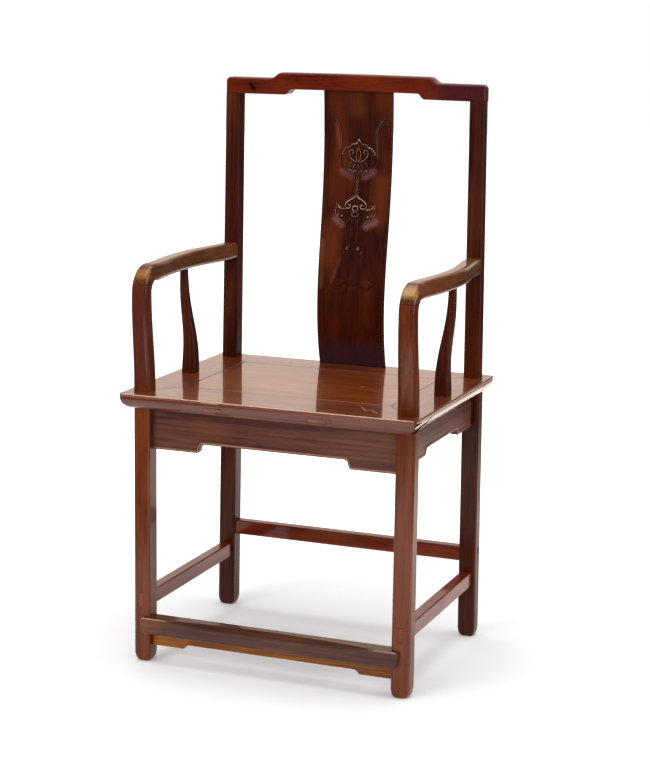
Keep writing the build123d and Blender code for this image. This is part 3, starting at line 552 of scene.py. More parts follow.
# raised fields: (share of the depth, width of the eased edge, right half's outline from top to bottom)
FIELDS = {
    "cloud head": (0.34, 2.2, (
        (0, 969), (5, 962.5), (13, 958.5), (22, 953.5), (31, 946), (35.5, 938), (34.5, 923), (27, 909),
        (14, 901.5), (0, 899),
    )),
    "clasp": (0.55, 1.8, (
        (0, 860), (8, 855), (16, 850), (22, 843), (20, 836), (26, 835), (33, 838), (41, 838.5), (41.5, 828),
        (35, 817), (25, 809.5), (17, 807), (12, 812), (7, 813), (0, 813),
    )),
    "tassel cord": (0.4, 1.4, ((0, 814), (6.8, 813), (6.8, 790), (6.8, 765), (0, 764))),
    "tassel skirt": (0.3, 2.6, (
        (0, 766), (10, 762), (19, 753), (24, 740), (28, 723), (29.5, 708), (34.5, 697), (43.5, 688),
        (37, 681), (30, 679), (21, 684.5), (14, 690), (7, 686), (0, 689),
    )),
}

# raised lines: (half width, share of the depth, whether it is repeated on the left, points)
LINES = {
    "ribbon": (0.95, 0.62, True, (
        (50.5, 1008), (45, 1004.5), (40.5, 996), (37.8, 984), (36.8, 970), (38.6, 954), (38.8, 940),
        (37.5, 925), (31, 912), (21, 903.5),
    )),
    "ribbon end": (0.8, 0.5, True, ((50.5, 1008), (53, 1004), (50.5, 1000.5), (47.5, 1001))),
    "head edge": (1.05, 1.0, True, (
        (0, 971), (3.6, 965), (7.5, 961.2), (12, 961.6), (17, 958), (22.5, 953.4),
    )),
    "head lobe": (1.05, 0.95, True, ((22.5, 955.4), (28, 952), (32, 946.5), (34.5, 943.5), (33.2, 941))),
    "inner leaf": (0.85, 0.85, True, (
        (2.4, 927), (9, 928.6), (15, 933.5), (19.6, 941), (18.4, 948.4), (12.8, 949.6), (10.4, 945.4),
        (13.6, 942.6),
    )),
    "head side": (0.7, 0.5, True, ((33.5, 940), (35, 930), (33, 919), (26, 909.5), (16, 903.5))),
    "bud": (0.9, 0.9, True, ((0, 955), (3.8, 947), (4.4, 938.5), (2.8, 930.5), (0, 926.5))),
    "middle vein": (0.8, 0.8, False, ((0, 922), (0.4, 917), (0, 911.5))),
    "inner vein": (0.8, 0.75, True, ((5.6, 922.5), (9, 918.5), (10.6, 913.5))),
    "outer vein": (0.8, 0.7, True, ((12, 926), (17.6, 922.4), (21, 916.8))),
    "collar": (0.9, 0.85, True, (
        (20, 908.5), (15.5, 911), (11, 906.6), (6.5, 910.5), (2.6, 905), (0, 903.4),
    )),
    "cord left": (0.75, 0.8, False, (
        (-1.2, 900), (-2.6, 895), (1.6, 889), (-1.8, 882), (1.4, 875), (-1.4, 868), (0, 861),
    )),
    "cord right": (0.75, 0.8, False, (
        (1.2, 900), (2.4, 895), (-1.8, 889), (1.6, 882), (-1.6, 875), (1.2, 868), (0, 861),
    )),
    "clasp edge": (1.15, 1.0, True, (
        (0, 861.5), (5, 857), (10.5, 854), (15, 850.8), (19.5, 847.5), (22.4, 843),
    )),
    "clasp curl": (1.0, 0.95, True, (
        (22.4, 843), (21, 838), (15.5, 835.8), (10.8, 838), (11.2, 842.4), (14.6, 843),
    )),
    "clasp lip": (0.85, 0.75, True, ((0, 828.6), (5.6, 827), (8, 824.2), (5, 821.2), (0, 820.4))),
    "wing upper edge": (1.0, 0.95, True, ((21, 835), (27, 834.4), (32.5, 836.4), (37, 841), (40.6, 844))),
    "wing tip": (0.95, 0.9, True, ((40.6, 844), (39.6, 837), (42.4, 831), (41, 824))),
    "wing lower edge": (0.9, 0.85, True, ((41, 824), (34.5, 816), (26, 809.8), (18, 806.5))),
    "splay": (0.8, 0.7, True, ((9.5, 817), (12, 811.5), (17.4, 806))),
    "cord border": (0.9, 0.64, True, ((6.2, 815), (7.4, 800), (7, 782), (7.4, 764))),
    "cord middle": (0.7, 0.45, False, ((-0.5, 812), (0, 790), (0.6, 766))),
    "skirt edge": (0.85, 0.56, True, (
        (20, 748), (24.5, 737), (28.2, 722), (29.4, 708), (34.4, 697.5), (43.8, 688.4),
    )),
    "skirt hem": (0.85, 0.54, True, (
        (43.8, 688.4), (38.6, 684.6), (36, 679.4), (30, 678), (23, 682), (17.5, 690), (15.4, 694.5),
    )),
    "skirt fold": (0.7, 0.35, True, ((12, 748), (15.5, 728), (15, 710), (20, 698))),
}

# raised knobs: (across, up, radius, share of the depth), repeated on the left
KNOBS = (
    (34.6, 822.8, 2.7, 0.7), (27.2, 820.6, 2.9, 0.7), (11.5, 757.5, 4.8, 0.58), (18.2, 747.5, 3.9, 0.52),
)
# a ring in the clasp: its middle, radius, half width, and how far inside it the hole begins
RING_CENTRE, RING_RADIUS, RING_HALF_WIDTH, RING_RIM = (0, 836), 5.2, 1.1, 1.4

# the board: the round of its arrises, how far its ends run into seat and crest rail, and how far from
# its middle its front and back are felt for
BOARD_ARRIS = 1.5 * MM
BOARD_SINK = 1 * MM
BOARD_PROBE = 20 * MM
# corners of the solid this close to the board's foot or sides belong to them, and rays that feel for
# its faces stay this far inside its ends
BOARD_NEAR = 1 * MM
BOARD_END = 0.2 * MM
# columns between the carving and an arris and on the back, and levels below and above the carving
BOARD_MARGIN, BACK_COLUMNS = 3, 7
LEVELS_BELOW, LEVELS_ABOVE = 20, 9


def flowing(points, step=0.9):
    """Closely set points on an even curve through the given ones."""
    given = np.array(points, float)
    guide = np.vstack((2 * given[:1] - given[1:2], given, 2 * given[-1:] - given[-2:-1]))
    path = []
    for before, start, end, after in zip(guide, guide[1:], guide[2:], guide[3:]):
        count = max(2, int(np.linalg.norm(end - start) / step))
        share = np.linspace(0, 1, count, endpoint=False)[:, None]
        path.append(0.5 * (2 * start + (end - before) * share
                           + (2 * before - 5 * start + 4 * end - after) * share**2
                           + (3 * start - before - 3 * end + after) * share**3))
    path.append(guide[-2:-1])
    return np.vstack(path)


def placed(path, side=1):
    """A path on the board's own axis, on the right (1) or the left (-1) of the ornament."""
    shift = np.interp(path[:, 1], *zip(*ORNAMENT_AXIS))
    return np.column_stack((side * path[:, 0] + shift, path[:, 1]))


def distance_to(path, across, up):
    """Distance from each point of the board's grid to a path, as far as the carving reaches."""
    nearest = np.full((len(up), len(across)), OUT_OF_REACH)
    for start, end in zip(path, path[1:]):
        low, high = np.minimum(start, end) - CARVING_REACH, np.maximum(start, end) + CARVING_REACH
        columns = slice(*np.searchsorted(across, (low[0], high[0])))
        rows = slice(*np.searchsorted(up, (low[1], high[1])))
        x, z = np.meshgrid(across[columns], up[rows])
        run = end - start
        share = ((x - start[0]) * run[0] + (z - start[1]) * run[1]) / max(float(run @ run), 1e-9)
        share = np.clip(share, 0, 1)
        away = np.hypot(x - start[0] - share * run[0], z - start[1] - share * run[1])
        nearest[rows, columns] = np.minimum(nearest[rows, columns], away)
    return nearest


def inside(outline, across, up):
    """Which points of the board's grid lie inside a closed outline."""
    x, z = np.meshgrid(across, up)
    within = np.zeros(x.shape, bool)
    for (x0, z0), (x1, z1) in zip(outline, outline[1:]):
        if z0 != z1:
            within ^= ((z0 > z) != (z1 > z)) & (x < (x1 - x0) * (z - z0) / (z1 - z0) + x0)
    return within


def eased(share):
    """0 to 1 with level ends."""
    share = np.clip(share, 0, 1)
    return share * share * (3 - 2 * share)


def carved_relief(across, up, depth):
    """The carving on a grid in millimetres: its height over the board's face, and where its lines and cuts
    lie.

    That value is 1 on a line's back and -1 in a cut; it sets the lines' painted highlight and the cuts'
    darker tone."""
    field = np.zeros((len(up), len(across)))
    sunk, raised, cut = np.zeros_like(field), np.zeros_like(field), np.zeros_like(field)
    for share, edge, half in FIELDS.values():
        right = flowing(half, step=1.5)
        outline = placed(right), placed(right, -1)[::-1]
        outline = np.vstack((*outline, outline[0][:1]))
        away = distance_to(outline, across, up)
        within = inside(outline, across, up)
        field = np.maximum(field, np.where(within, share * eased(away / edge), 0))
        # the ground is scooped away round a field and comes back gently
        scoop = SCOOP_DEPTH * share * np.exp(-((away - SCOOP_PLACE) / SCOOP_WIDTH) ** 2)
        sunk = np.where(within, 0, np.maximum(sunk, scoop))
    for half_width, share, both, points in LINES.values():
        path = flowing(points)
        for side in (1, -1) if both else (1,):
            away = distance_to(placed(path, side), across, up)
            raised = np.maximum(raised, share * np.sqrt(np.clip(1 - (away / half_width) ** 2, 0, 1)))
            # a narrow V on both sides sets the line off
            cut = np.maximum(cut, share * np.exp(-((away - half_width - CUT_PLACE) / CUT_WIDTH) ** 2))
    x, z = np.meshgrid(across, up)
    for knob_x, knob_z, radius, share in KNOBS:
        for side in (1, -1):
            (centre_x, centre_z), = placed(np.array([(knob_x, knob_z)], float), side)
            away = np.hypot(x - centre_x, z - centre_z)
            raised = np.maximum(raised, share * np.sqrt(np.clip(1 - (away / radius) ** 2, 0, 1)))
            cut = np.maximum(cut, np.exp(-((away - radius - KNOB_CUT_PLACE) / KNOB_CUT_WIDTH) ** 2))
    (ring_x, ring_z), = placed(np.array([RING_CENTRE], float))
    away = np.hypot(x - ring_x, z - ring_z)
    ridge = np.sqrt(np.clip(1 - (np.abs(away - RING_RADIUS) / RING_HALF_WIDTH) ** 2, 0, 1))
    raised = np.maximum(raised, ridge)
    cut = np.maximum(cut, away < RING_RADIUS - RING_RIM)
    height = depth * (field + raised - np.maximum(sunk, CUT_DEPTH * cut))
    return height, raised - cut * (1 - raised)


def node_points(name):
    """Corners of a solid's mesh in the shared frame."""
    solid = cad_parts[name]
    return np.array([solid.matrix_world @ corner.co for corner in solid.data.vertices])


def node_surface(*names):
    """The joint surface of some solids, for finding places on it."""
    corners, faces = [], []
    for name in names:
        start = len(corners)
        corners += [Vector(point) for point in node_points(name)]
        faces += [[start + i for i in face.vertices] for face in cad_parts[name].data.polygons]
    return BVHTree.FromPolygons(corners, faces)


def board_section(front, back, half, across, lift):
    """The splat's section at one height, from the left of its front round to the left arris."""
    flat = half - BOARD_ARRIS
    margin = np.linspace(across[-1], flat, BOARD_MARGIN + 1)[1:]
    ring = [(-x, front) for x in margin[::-1]]
    ring += [(x, front - rise) for x, rise in zip(across, lift)]
    ring += [(x, front) for x in margin]
    early, late = np.radians((30, 60, 90)), np.radians((0, 30, 60))
    for side, ahead, behind in ((1, front, back), (-1, back, front)):
        turn = side * BOARD_ARRIS
        ring += [(side * flat + turn * math.sin(a), ahead + turn * (1 - math.cos(a))) for a in early]
        ring += [(side * flat + turn * math.cos(a), behind - turn * (1 - math.sin(a))) for a in late]
        if side == 1:
            ring += [(x, back) for x in np.linspace(flat, -flat, BACK_COLUMNS)]
    return ring


class OHA_OT_carve_splat(bpy.types.Operator):
    """Carve the pendant in low relief on the splat, a board with the solid's own curve, width and arrises"""

    bl_idname = "oha.carve_splat"
    bl_label = "Carve splat"

    def execute(self, context):
        depth = context.scene.oha_chair.carving_depth
        points = node_points("splat")
        surface = node_surface("splat")
        foot = float(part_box("seat_panel")[1][2])
        top_half = float(np.abs(points[:, 0]).max())
        top = float(points[np.abs(points[:, 0]) > top_half - BOARD_NEAR][:, 2].max())
        foot_half = float(np.abs(points[np.abs(points[:, 2] - foot) < BOARD_NEAR][:, 0]).max())
        up = np.concatenate((
            np.linspace(foot - BOARD_SINK, CARVED_LOW * MM, LEVELS_BELOW)[:-1],
            np.arange(CARVED_LOW, CARVED_HIGH, CARVING_GRID) * MM,
            np.linspace(CARVED_HIGH * MM, top + BOARD_SINK, LEVELS_ABOVE),
        ))
        across = np.arange(-CARVED_HALF_WIDTH, CARVED_HALF_WIDTH + CARVING_GRID, CARVING_GRID) * MM
        relief, lines_and_cuts = np.zeros((2, len(up), len(across)))
        rows = (up > CARVED_LOW * MM - 1e-6) & (up < CARVED_HIGH * MM - 1e-6)
        relief[rows], lines_and_cuts[rows] = carved_relief(across / MM, up[rows] / MM, depth)
        # the values in rubbed set where the carving's lines get a painted highlight and its cuts get darker
        corners, rubbed = [], []
        for height, lift, carved_row in zip(up, relief, lines_and_cuts):
            level = min(max(height, foot + BOARD_END), top - BOARD_END)
            front = surface.ray_cast(Vector((BOARD_PROBE, -1, level)), Vector((0, 1, 0)))[0].y
            back = surface.ray_cast(Vector((BOARD_PROBE, 1, level)), Vector((0, -1, 0)))[0].y
            half = np.interp(height, (foot, top), (foot_half, top_half))
            ring = board_section(front, back, half, across, lift)
            corners += [(x, y, height) for x, y in ring]
            rubbed += [0.0] * BOARD_MARGIN + list(carved_row) + [0.0] * (len(ring) - BOARD_MARGIN - len(carved_row))
        count = len(ring)
        faces = [tuple(range(count))[::-1], tuple(range(len(corners) - count, len(corners)))]
        for row in range(len(up) - 1):
            for j in range(count):
                a, b = row * count + j, row * count + (j + 1) % count
                faces.append((a, b, b + count, a + count))
        board = mesh_object("carved_splat", corners, faces)
        board.data.polygons.foreach_set("use_smooth", [False] * 2 + [True] * (len(faces) - 2))
        board.data.attributes.new(CARVED_LINES_AND_CUTS, "FLOAT", "POINT").data.foreach_set("value", rubbed)
        board.data.materials.append(
            wood("lacquered_rosewood_splat", "z", carved=True, marks=MARKS["splat"], **finish_of("splat"))
        )
        finish_piece(board)
        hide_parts("splat")
        return {"FINISHED"}


# ---------------------------------------------------------------- beads and joint lines


def finish_piece(piece):
    """Every piece is fast to the chair's one body."""
    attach(piece, "root")


def rod_tree(material):
    """Geometry nodes that run a round rod along the edges of a mesh."""
    tree = bpy.data.node_groups.new(f"rod_of_{material.name}", "GeometryNodeTree")
    tree.interface.new_socket(name="Path", in_out="INPUT", socket_type="NodeSocketGeometry")
    tree.interface.new_socket(name="Radius", in_out="INPUT", socket_type="NodeSocketFloat")
    tree.interface.new_socket(name="Sides", in_out="INPUT", socket_type="NodeSocketInt")
    tree.interface.new_socket(name="Rod", in_out="OUTPUT", socket_type="NodeSocketGeometry")
    given = node(tree, "NodeGroupInput").outputs
    path = node(tree, "GeometryNodeMeshToCurve", None, None, {"Mesh": given["Path"]}).outputs[0]
    round_section = node(tree, "GeometryNodeCurvePrimitiveCircle", None, None,
                         {"Resolution": given["Sides"], "Radius": given["Radius"]}).outputs[0]
    rod = node(tree, "GeometryNodeCurveToMesh", None, {"Fill Caps": True},
               {"Curve": path, "Profile Curve": round_section}).outputs[0]
    rod = node(tree, "GeometryNodeSetShadeSmooth", None, None, {"Geometry": rod}).outputs[0]
    rod = node(tree, "GeometryNodeRealizeInstances", None, None, {"Geometry": rod}).outputs[0]
    rod = node(tree, "GeometryNodeSetMaterial", None, {"Material": material}, {"Geometry": rod}).outputs[0]
    node(tree, "NodeGroupOutput", None, None, {"Rod": rod})
    return tree


def rods(name, paths, radius, material, sides=10):
    """Round rods along some paths, each (points, whether it closes), as one plain mesh."""
    corners, edges = [], []
    for points, closed in paths:
        start = len(corners)
        corners += [tuple(point) for point in points]
        edges += [(start + i, start + i + 1) for i in range(len(points) - 1)]
        if closed:
            edges.append((len(corners) - 1, start))
    mesh = bpy.data.meshes.new(name)
    mesh.from_pydata(corners, edges, [])
    made = bpy.data.objects.new(name, mesh)
    bpy.context.scene.collection.objects.link(made)
    tree = rod_tree(material)
    modifier = made.modifiers.new("rod", "NODES")
    modifier.node_group = tree
    for item in tree.interface.items_tree:
        if item.in_out == "INPUT" and item.name in ("Radius", "Sides"):
            modifier[item.identifier] = radius if item.name == "Radius" else sides
    ready = made.evaluated_get(bpy.context.evaluated_depsgraph_get())
    plain = bpy.data.meshes.new_from_object(ready)
    made.modifiers.clear()
    made.data = plain
    finish_piece(made)


# the low apron has a smaller bead, by this share
SMALL_BEAD = 0.6
# corners this close to an apron's outer face lie on it
ON_FACE = 0.02 * MM
# each apron's outer face: the axis that it faces along, and which way
APRON_FACES = {
    "apron_front": (1, -1), "apron_rear": (1, 1), "apron_left": (0, -1), "apron_right": (0, 1),
    "foot_rail_apron": (1, -1),
}


def lower_edge(name, axis, side, inset):
    """The stepped lower edge of an apron's outer face, moved inwards by an inset."""
    points = node_points(name)
    face = (side * points[:, axis]).max()
    on_face = points[side * points[:, axis] > face - ON_FACE]
    lowest = {}
    for point in on_face:
        run = round(float(point[1 - axis]), 5)
        lowest[run] = min(lowest.get(run, math.inf), float(point[2]))
    edge = np.array(sorted(lowest.items()))
    along = np.gradient(edge, axis=0)
    along /= np.linalg.norm(along, axis=1)[:, None]
    edge += inset * np.column_stack((-along[:, 1], along[:, 0]))
    line = np.empty((len(edge), 3))
    line[:, axis] = side * face
    line[:, 1 - axis] = edge[:, 0]
    line[:, 2] = edge[:, 1]
    return line


class OHA_OT_run_beads(bpy.types.Operator):
    """Run a small bead along the lower edge of each apron"""

    bl_idname = "oha.run_beads"
    bl_label = "Run beads"

    def execute(self, context):
        settings = context.scene.oha_chair
        for name, (axis, side) in APRON_FACES.items():
            if name == "foot_rail_apron":
                share, slot = SMALL_BEAD, "foot_apron_wood"
                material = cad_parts[name].material_slots[0].material
            else:
                share, slot = 1.0, "apron_wood"
                material = wood(f"rubbed_rosewood_{name}", "xy"[1 - axis], **finish_of("bead"))
            line = lower_edge(name, axis, side, settings.bead_inset * share)
            rods(f"bead_{name}", [(line, False)], settings.bead_radius * share, material)
        return {"FINISHED"}


def joint_wax():
    """Dark wax with old polish and dust in it, matt: the eye gets a fine dark line along a joint."""
    material = bpy.data.materials.new("dark_joint_wax")
    material.use_nodes = True
    tree = material.node_tree
    tree.nodes.clear()
    place = node(tree, "ShaderNodeTexCoord").outputs["Object"]
    # crumbs between 2 and 3 mm long
    crumbs = node(tree, "ShaderNodeTexNoise", None, {"Scale": 420.0, "Detail": 3.0},
                  {"Vector": place}).outputs["Fac"]
    tone = node(tree, "ShaderNodeValToRGB", None, None, {"Fac": crumbs})
    middle = tuple(bpy.context.scene.oha_chair.wax_colour)
    ramp_stops(tone, ((0.35, "#120604"), (0.55, middle), (0.72, "#3a1a10")))
    relief = node(tree, "ShaderNodeBump", None, {"Strength": 0.3, "Distance": 0.1 * MM},
                  {"Height": crumbs}).outputs[0]
    shader = node(tree, "ShaderNodeBsdfPrincipled", None, {"Roughness": 0.9, "Specular IOR Level": 0.0},
                  {"Base Color": tone.outputs["Color"], "Normal": relief})
    node(tree, "ShaderNodeOutputMaterial", None, None, {"Surface": shader.outputs[0]})
    return material


# corners this close to a shoulder's level lie on it, and a tenon's outline has a point about every so far
ON_SHOULDER = 0.05 * MM
OUTLINE_STEP = 2 * MM


def loop_round(name, level, hollow):
    """Outline of a solid at a level where it has a flat shoulder, leaving out what lies within a radius."""
    points = node_points(name)
    ring = points[np.abs(points[:, 2] - level) < ON_SHOULDER]
    middle = (ring.min(axis=0) + ring.max(axis=0)) / 2
    ring = ring[np.hypot(*(ring - middle)[:, :2].T) > hollow]
    turns = np.arctan2(ring[:, 1] - middle[1], ring[:, 0] - middle[0])
    _, first = np.unique(np.round(turns, 3), return_index=True)
    return ring[first]


def box_outline(surface, low, high, direction, sink):
    """Outline of a squared tenon's end, laid on a surface that is met along a direction."""
    axis = max(range(3), key=lambda i: abs(direction[i]))
    first, second = (i for i in range(3) if i != axis)
    outline = []
    corners = ((low[0], low[1]), (high[0], low[1]), (high[0], high[1]), (low[0], high[1]))
    for start, end in zip(corners, corners[1:] + corners[:1]):
        steps = max(2, int(math.dist(start, end) / OUTLINE_STEP))
        for share in np.linspace(0, 1, steps, endpoint=False):
            place = Vector((0, 0, 0))
            place[first] = start[0] + (end[0] - start[0]) * share
            place[second] = start[1] + (end[1] - start[1]) * share
            place[axis] = -direction[axis]
            met = surface.ray_cast(place, Vector(direction))[0]
            outline.append(met + Vector(direction) * sink)
    return outline


# a loop of an upright's outline that lies within this of its middle is its tenon's, not its shoulder's
TENON_REACH = 11 * MM
PANEL_TONGUE = 8 * MM
# places along a mitre as shares of its length, from just inside the corner's round
MITRE_SHARES = (0.035, 0.35, 0.7, 1.0)
# depths below the seat's top between which a mitre shows down its corner, and how far to one side of
# it the rays run, because one along the mitre itself would pass between the two rails
CORNER_RUN = (2 * MM, 28 * MM)
BESIDE_MITRE = 0.2 * MM

# ends of the through tenons, in millimetres: (middle, half width, lowest, highest) of those that show
# in front and behind, on both sides, and (nearest, furthest, lowest, highest) of those at the sides
BRACE_TENON = (101, 17.5, 501, 509.5)
SIDE_STRETCHER_TENON = (259, 5, 106, 135)
SEAT_RAIL_TENONS = ((-164, -140, 503.75, 512.25), (166, 186, 503.75, 512.25))
REAR_STRETCHER_TENON = (200, 210, 153, 182)
# wood has chipped off at the ends of the front tenons: places across, and a chip's (shift, height)
CHIPS_AT = (-86, 127)
CHIP = ((-3, 513), (0, 511), (1.6, 508), (1.2, 505), (-1, 503))

SEAT_RAILS = ("seat_rail_front", "seat_rail_rear", "seat_rail_left", "seat_rail_right")


def mitre_lines(surface, sink):
    """Lines of the seat frame's mitres: four from its corners to the panel's, and four down its corners."""
    left, (right, _, top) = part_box("seat_rail_left")[0][0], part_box("seat_rail_right")[1]
    panel_low, panel_high = (Vector(corner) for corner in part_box("seat_panel"))
    lines = []
    for outer_x, panel_x, inward in ((left, panel_low.x, 1), (right, panel_high.x, -1)):
        for outer_y, panel_y, ahead in ((SEAT_FRONT, panel_low.y, 1), (SEAT_BACK, panel_high.y, -1)):
            outer = Vector((outer_x, outer_y, top - sink))
            inner = Vector((panel_x + inward * PANEL_TONGUE, panel_y + ahead * PANEL_TONGUE, top - sink))
            lines.append(([outer.lerp(inner, share) for share in MITRE_SHARES], False))
    for across in (-1, 1):
        for along, corner_y in ((-1, SEAT_FRONT), (1, SEAT_BACK)):
            inward = Vector((-across, -along, 0)).normalized()
            line = []
            for drop in np.linspace(*CORNER_RUN, 9):
                start = Vector((across * (right - BESIDE_MITRE), corner_y, top - drop)) - inward
                line.append(surface.ray_cast(start, inward)[0] + inward * sink)
            lines.append((line, False))
    return lines


def front_and_back(surface, tenon, side, sink):
    """Outlines of a through tenon's two ends, in front and behind, on one side of the chair."""
    middle, half, foot, head = tenon
    low, high = ((side * middle - half) * MM, foot * MM), ((side * middle + half) * MM, head * MM)
    return [(box_outline(surface, low, high, (0, ahead, 0), sink), True) for ahead in (1, -1)]


def at_side(surface, tenon, side, sink):
    """Outline of a tenon's end at one side of the chair."""
    near, far, foot, head = tenon
    return box_outline(surface, (near * MM, foot * MM), (far * MM, head * MM), (-side, 0, 0), sink), True


class OHA_OT_wax_joints(bpy.types.Operator):
    """Fill the joints with dark wax: arm seams, crest seats, seat mitres and the ends of through tenons"""

    bl_idname = "oha.wax_joints"
    bl_label = "Wax joints"

    def execute(self, context):
        radius = context.scene.oha_chair.joint_line
        sink = 0.55 * radius
        wax = joint_wax()
        crest_seat = float(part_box("crest_rail")[0][2])
        seams, seats = [], []
        for side in ("left", "right"):
            arm_seam = node_points(f"arm_{side}")[:, 2].min()
            seams.append((loop_round(f"arm_{side}", arm_seam, TENON_REACH), True))
            seats.append((loop_round(f"rear_leg_{side}", crest_seat, TENON_REACH), True))
        rods("arm_seam_wax", seams, radius, wax)
        rods("crest_seat_wax", seats, radius, wax)

        seat_edge = node_surface(*SEAT_RAILS, "seat_brace_left", "seat_brace_right")
        rods("mitre_wax", mitre_lines(seat_edge, sink), radius, wax, sides=8)

        ends = []
        for side in (-1, 1):
            ends += front_and_back(seat_edge, BRACE_TENON, side, sink)
            ends += [at_side(seat_edge, tenon, side, sink) for tenon in SEAT_RAIL_TENONS]
        for across in CHIPS_AT:
            chip = []
            for shift, height in CHIP:
                place = Vector(((across + shift) * MM, -1, height * MM))
                chip.append(seat_edge.ray_cast(place, Vector((0, 1, 0)))[0] + Vector((0, sink, 0)))
            ends.append((chip, False))
        rods("seat_tenon_wax", ends, radius, wax, sides=6)

        legs = node_surface("front_leg_left", "front_leg_right", "rear_leg_left", "rear_leg_right",
                            "side_stretcher_left", "side_stretcher_right", "rear_stretcher")
        ends = []
        for side in (-1, 1):
            ends += front_and_back(legs, SIDE_STRETCHER_TENON, side, sink)
            ends.append(at_side(legs, REAR_STRETCHER_TENON, side, sink))
        # the legs' joints are tighter, so their lines are finer
        rods("leg_tenon_wax", ends, 0.7 * radius, wax, sides=6)
        return {"FINISHED"}


# the front right corner has split: (along the side rail, lowest, highest) of each jagged gap, in
# millimetres
CORNER_SPLITS = {
    "mitre_split": (
        (-228, 503.8, 505.8), (-225.6, 501.6, 506.8), (-222, 498.9, 505.8), (-217, 497, 507.2),
        (-209, 498.4, 506.2), (-201, 500, 507.6), (-192, 502, 507.4), (-182, 504, 508.6),
        (-171, 506, 508.9), (-160, 507.6, 509.3), (-150, 508.8, 509.6),
    ),
    "lip_split": (
        (-231, 511.6, 516.6), (-226, 512.4, 516.8), (-219, 512.6, 516), (-210, 512.8, 515), (-200, 513, 514),
    ),
}


# a split's dark piece, painted shade for its gap, stands proud of the rail by this and reaches this deep
# into it
SPLIT_PROUD, SPLIT_DEPTH = 0.35 * MM, 1.5 * MM


class OHA_OT_split_corner(bpy.types.Operator):
    """Lay dark pieces, painted shade for the gaps, in the splits that run from the seat's front right corner
    along the side rail
    """

    bl_idname = "oha.split_corner"
    bl_label = "Split corner"

    def execute(self, context):
        edge = node_surface("seat_rail_front", "seat_rail_right")
        for name, rows in CORNER_SPLITS.items():
            outer = []
            for along, low, high in rows:
                for height in (low, (low + high) / 2, high):
                    met = edge.ray_cast(Vector((1, along * MM, height * MM)), Vector((-1, 0, 0)))[0]
                    outer.append(met + Vector((SPLIT_PROUD, 0, 0)))
            inner = [place - Vector((SPLIT_PROUD + SPLIT_DEPTH, 0, 0)) for place in outer]
            count, last = len(outer), len(outer) - 3
            faces = []
            for start in range(0, last, 3):
                for a in (start, start + 1):
                    faces += [(a, a + 3, a + 4, a + 1),
                              (count + a, count + a + 1, count + a + 4, count + a + 3)]
                faces += [(start, count + start, count + start + 3, start + 3),
                          (start + 2, start + 5, count + start + 5, count + start + 2)]
            for a in (0, 1):
                faces += [(a, a + 1, count + a + 1, count + a),
                          (last + a + 1, last + a, count + last + a, count + last + a + 1)]
            split = mesh_object(name, outer + inner, faces)
            # the dark wax here is painted shade for the gap inside a split
            split.data.materials.append(bpy.data.materials["dark_joint_wax"])
            finish_piece(split)
        return {"FINISHED"}


# ---------------------------------------------------------------- stage


# soft lamps: (name, place, point that it faces, size, setting of its power, whether reflections show it)
LAMPS = (
    ("overhead_lamp", (0.0, 0.05, 2.6), (0.0, 0.0, 0.0), 2.2, "key_power", True),
    ("front_lamp", (-1.15, -3.1, 1.75), (0.0, 0.0, 0.5), 2.2, "fill_power", False),
    ("side_lamp", (3.1, 0.5, 1.2), (0.0, 0.0, 0.5), 1.8, "side_power", True),
)
CAMERA_PLACE = (1.3889, -3.4923, 1.2680)
# the camera's azimuth to the right of the chair's front, its height angle and its roll
CAMERA_AZIMUTH, CAMERA_ELEVATION, CAMERA_ROLL = (math.radians(a) for a in (21.3056, 11.1203, 0.859))
CAMERA_FRAME = 36.0
FLOOR_SIDES = 96


class OHA_OT_build_stage(bpy.types.Operator):
    """Lay the pale floor, hang the soft lamps and set the camera"""

    bl_idname = "oha.build_stage"
    bl_label = "Build stage"

    def execute(self, context):
        settings = context.scene.oha_stage
        rim = [(settings.floor_radius * math.cos(a), settings.floor_radius * math.sin(a), 0.0)
               for a in np.linspace(0, 2 * math.pi, FLOOR_SIDES, endpoint=False)]
        floor = mesh_object("studio_floor", rim, [range(len(rim))])
        floor.data.materials.append(floor_paper())
        world = bpy.data.worlds.new("studio_air")
        world.use_nodes = True
        context.scene.world = world
        light_world(world.node_tree)
        for name, place, aim, size, power, reflected in LAMPS:
            soft_lamp(name, place, aim, size, getattr(settings, power), reflected)
        place_camera(settings.lens)
        context.scene.view_settings.view_transform = "Standard"
        return {"FINISHED"}


# a white paper sweep hangs behind the chair, set up squarely to the camera's azimuth, and runs out in
# front of the chair
SWEEP_BACK = Vector((-math.sin(CAMERA_AZIMUTH), math.cos(CAMERA_AZIMUTH), 0.0))
SWEEP_RIGHT = Vector((math.cos(CAMERA_AZIMUTH), math.sin(CAMERA_AZIMUTH), 0.0))
# warm tones of the paper in reflections, on the floor and hanging
FLOOR_REFLECTED, SWEEP_REFLECTED = "#ffe6d2", "#ffebdc"
WHITE = (1.0, 1.0, 1.0, 1.0)


def on_sweep(tree, vector):
    """How far a place or a direction lies to the sweep's right, and how far towards its back."""
    return [node(tree, "ShaderNodeVectorMath", {"operation": "DOT_PRODUCT"}, {1: axis},
                 {0: vector}).outputs["Value"] for axis in (SWEEP_RIGHT, SWEEP_BACK)]


def past_limits(tree, limits):
    """1 where every value is past its limit and 0 where one isn't, from (value, where 0, where 1)."""
    covered = None
    for value, nothing, whole in limits:
        share = node(tree, "ShaderNodeMapRange", {"interpolation_type": "SMOOTHSTEP"},
                     {"From Min": nothing, "From Max": whole}, {"Value": value}).outputs[0]
        if covered is not None:
            share = node(tree, "ShaderNodeMath", {"operation": "MULTIPLY"}, None,
                         {0: covered, 1: share}).outputs[0]
        covered = share
    return covered


def paper_on_floor(tree, place):
    """1 on the part of the floor that the paper covers, 0 on the dark floor of the room around it."""
    across, along = on_sweep(tree, place)
    return past_limits(tree, ((across, 1.7, 1.1), (across, -1.2, -0.7), (along, -2.9, -1.7)))


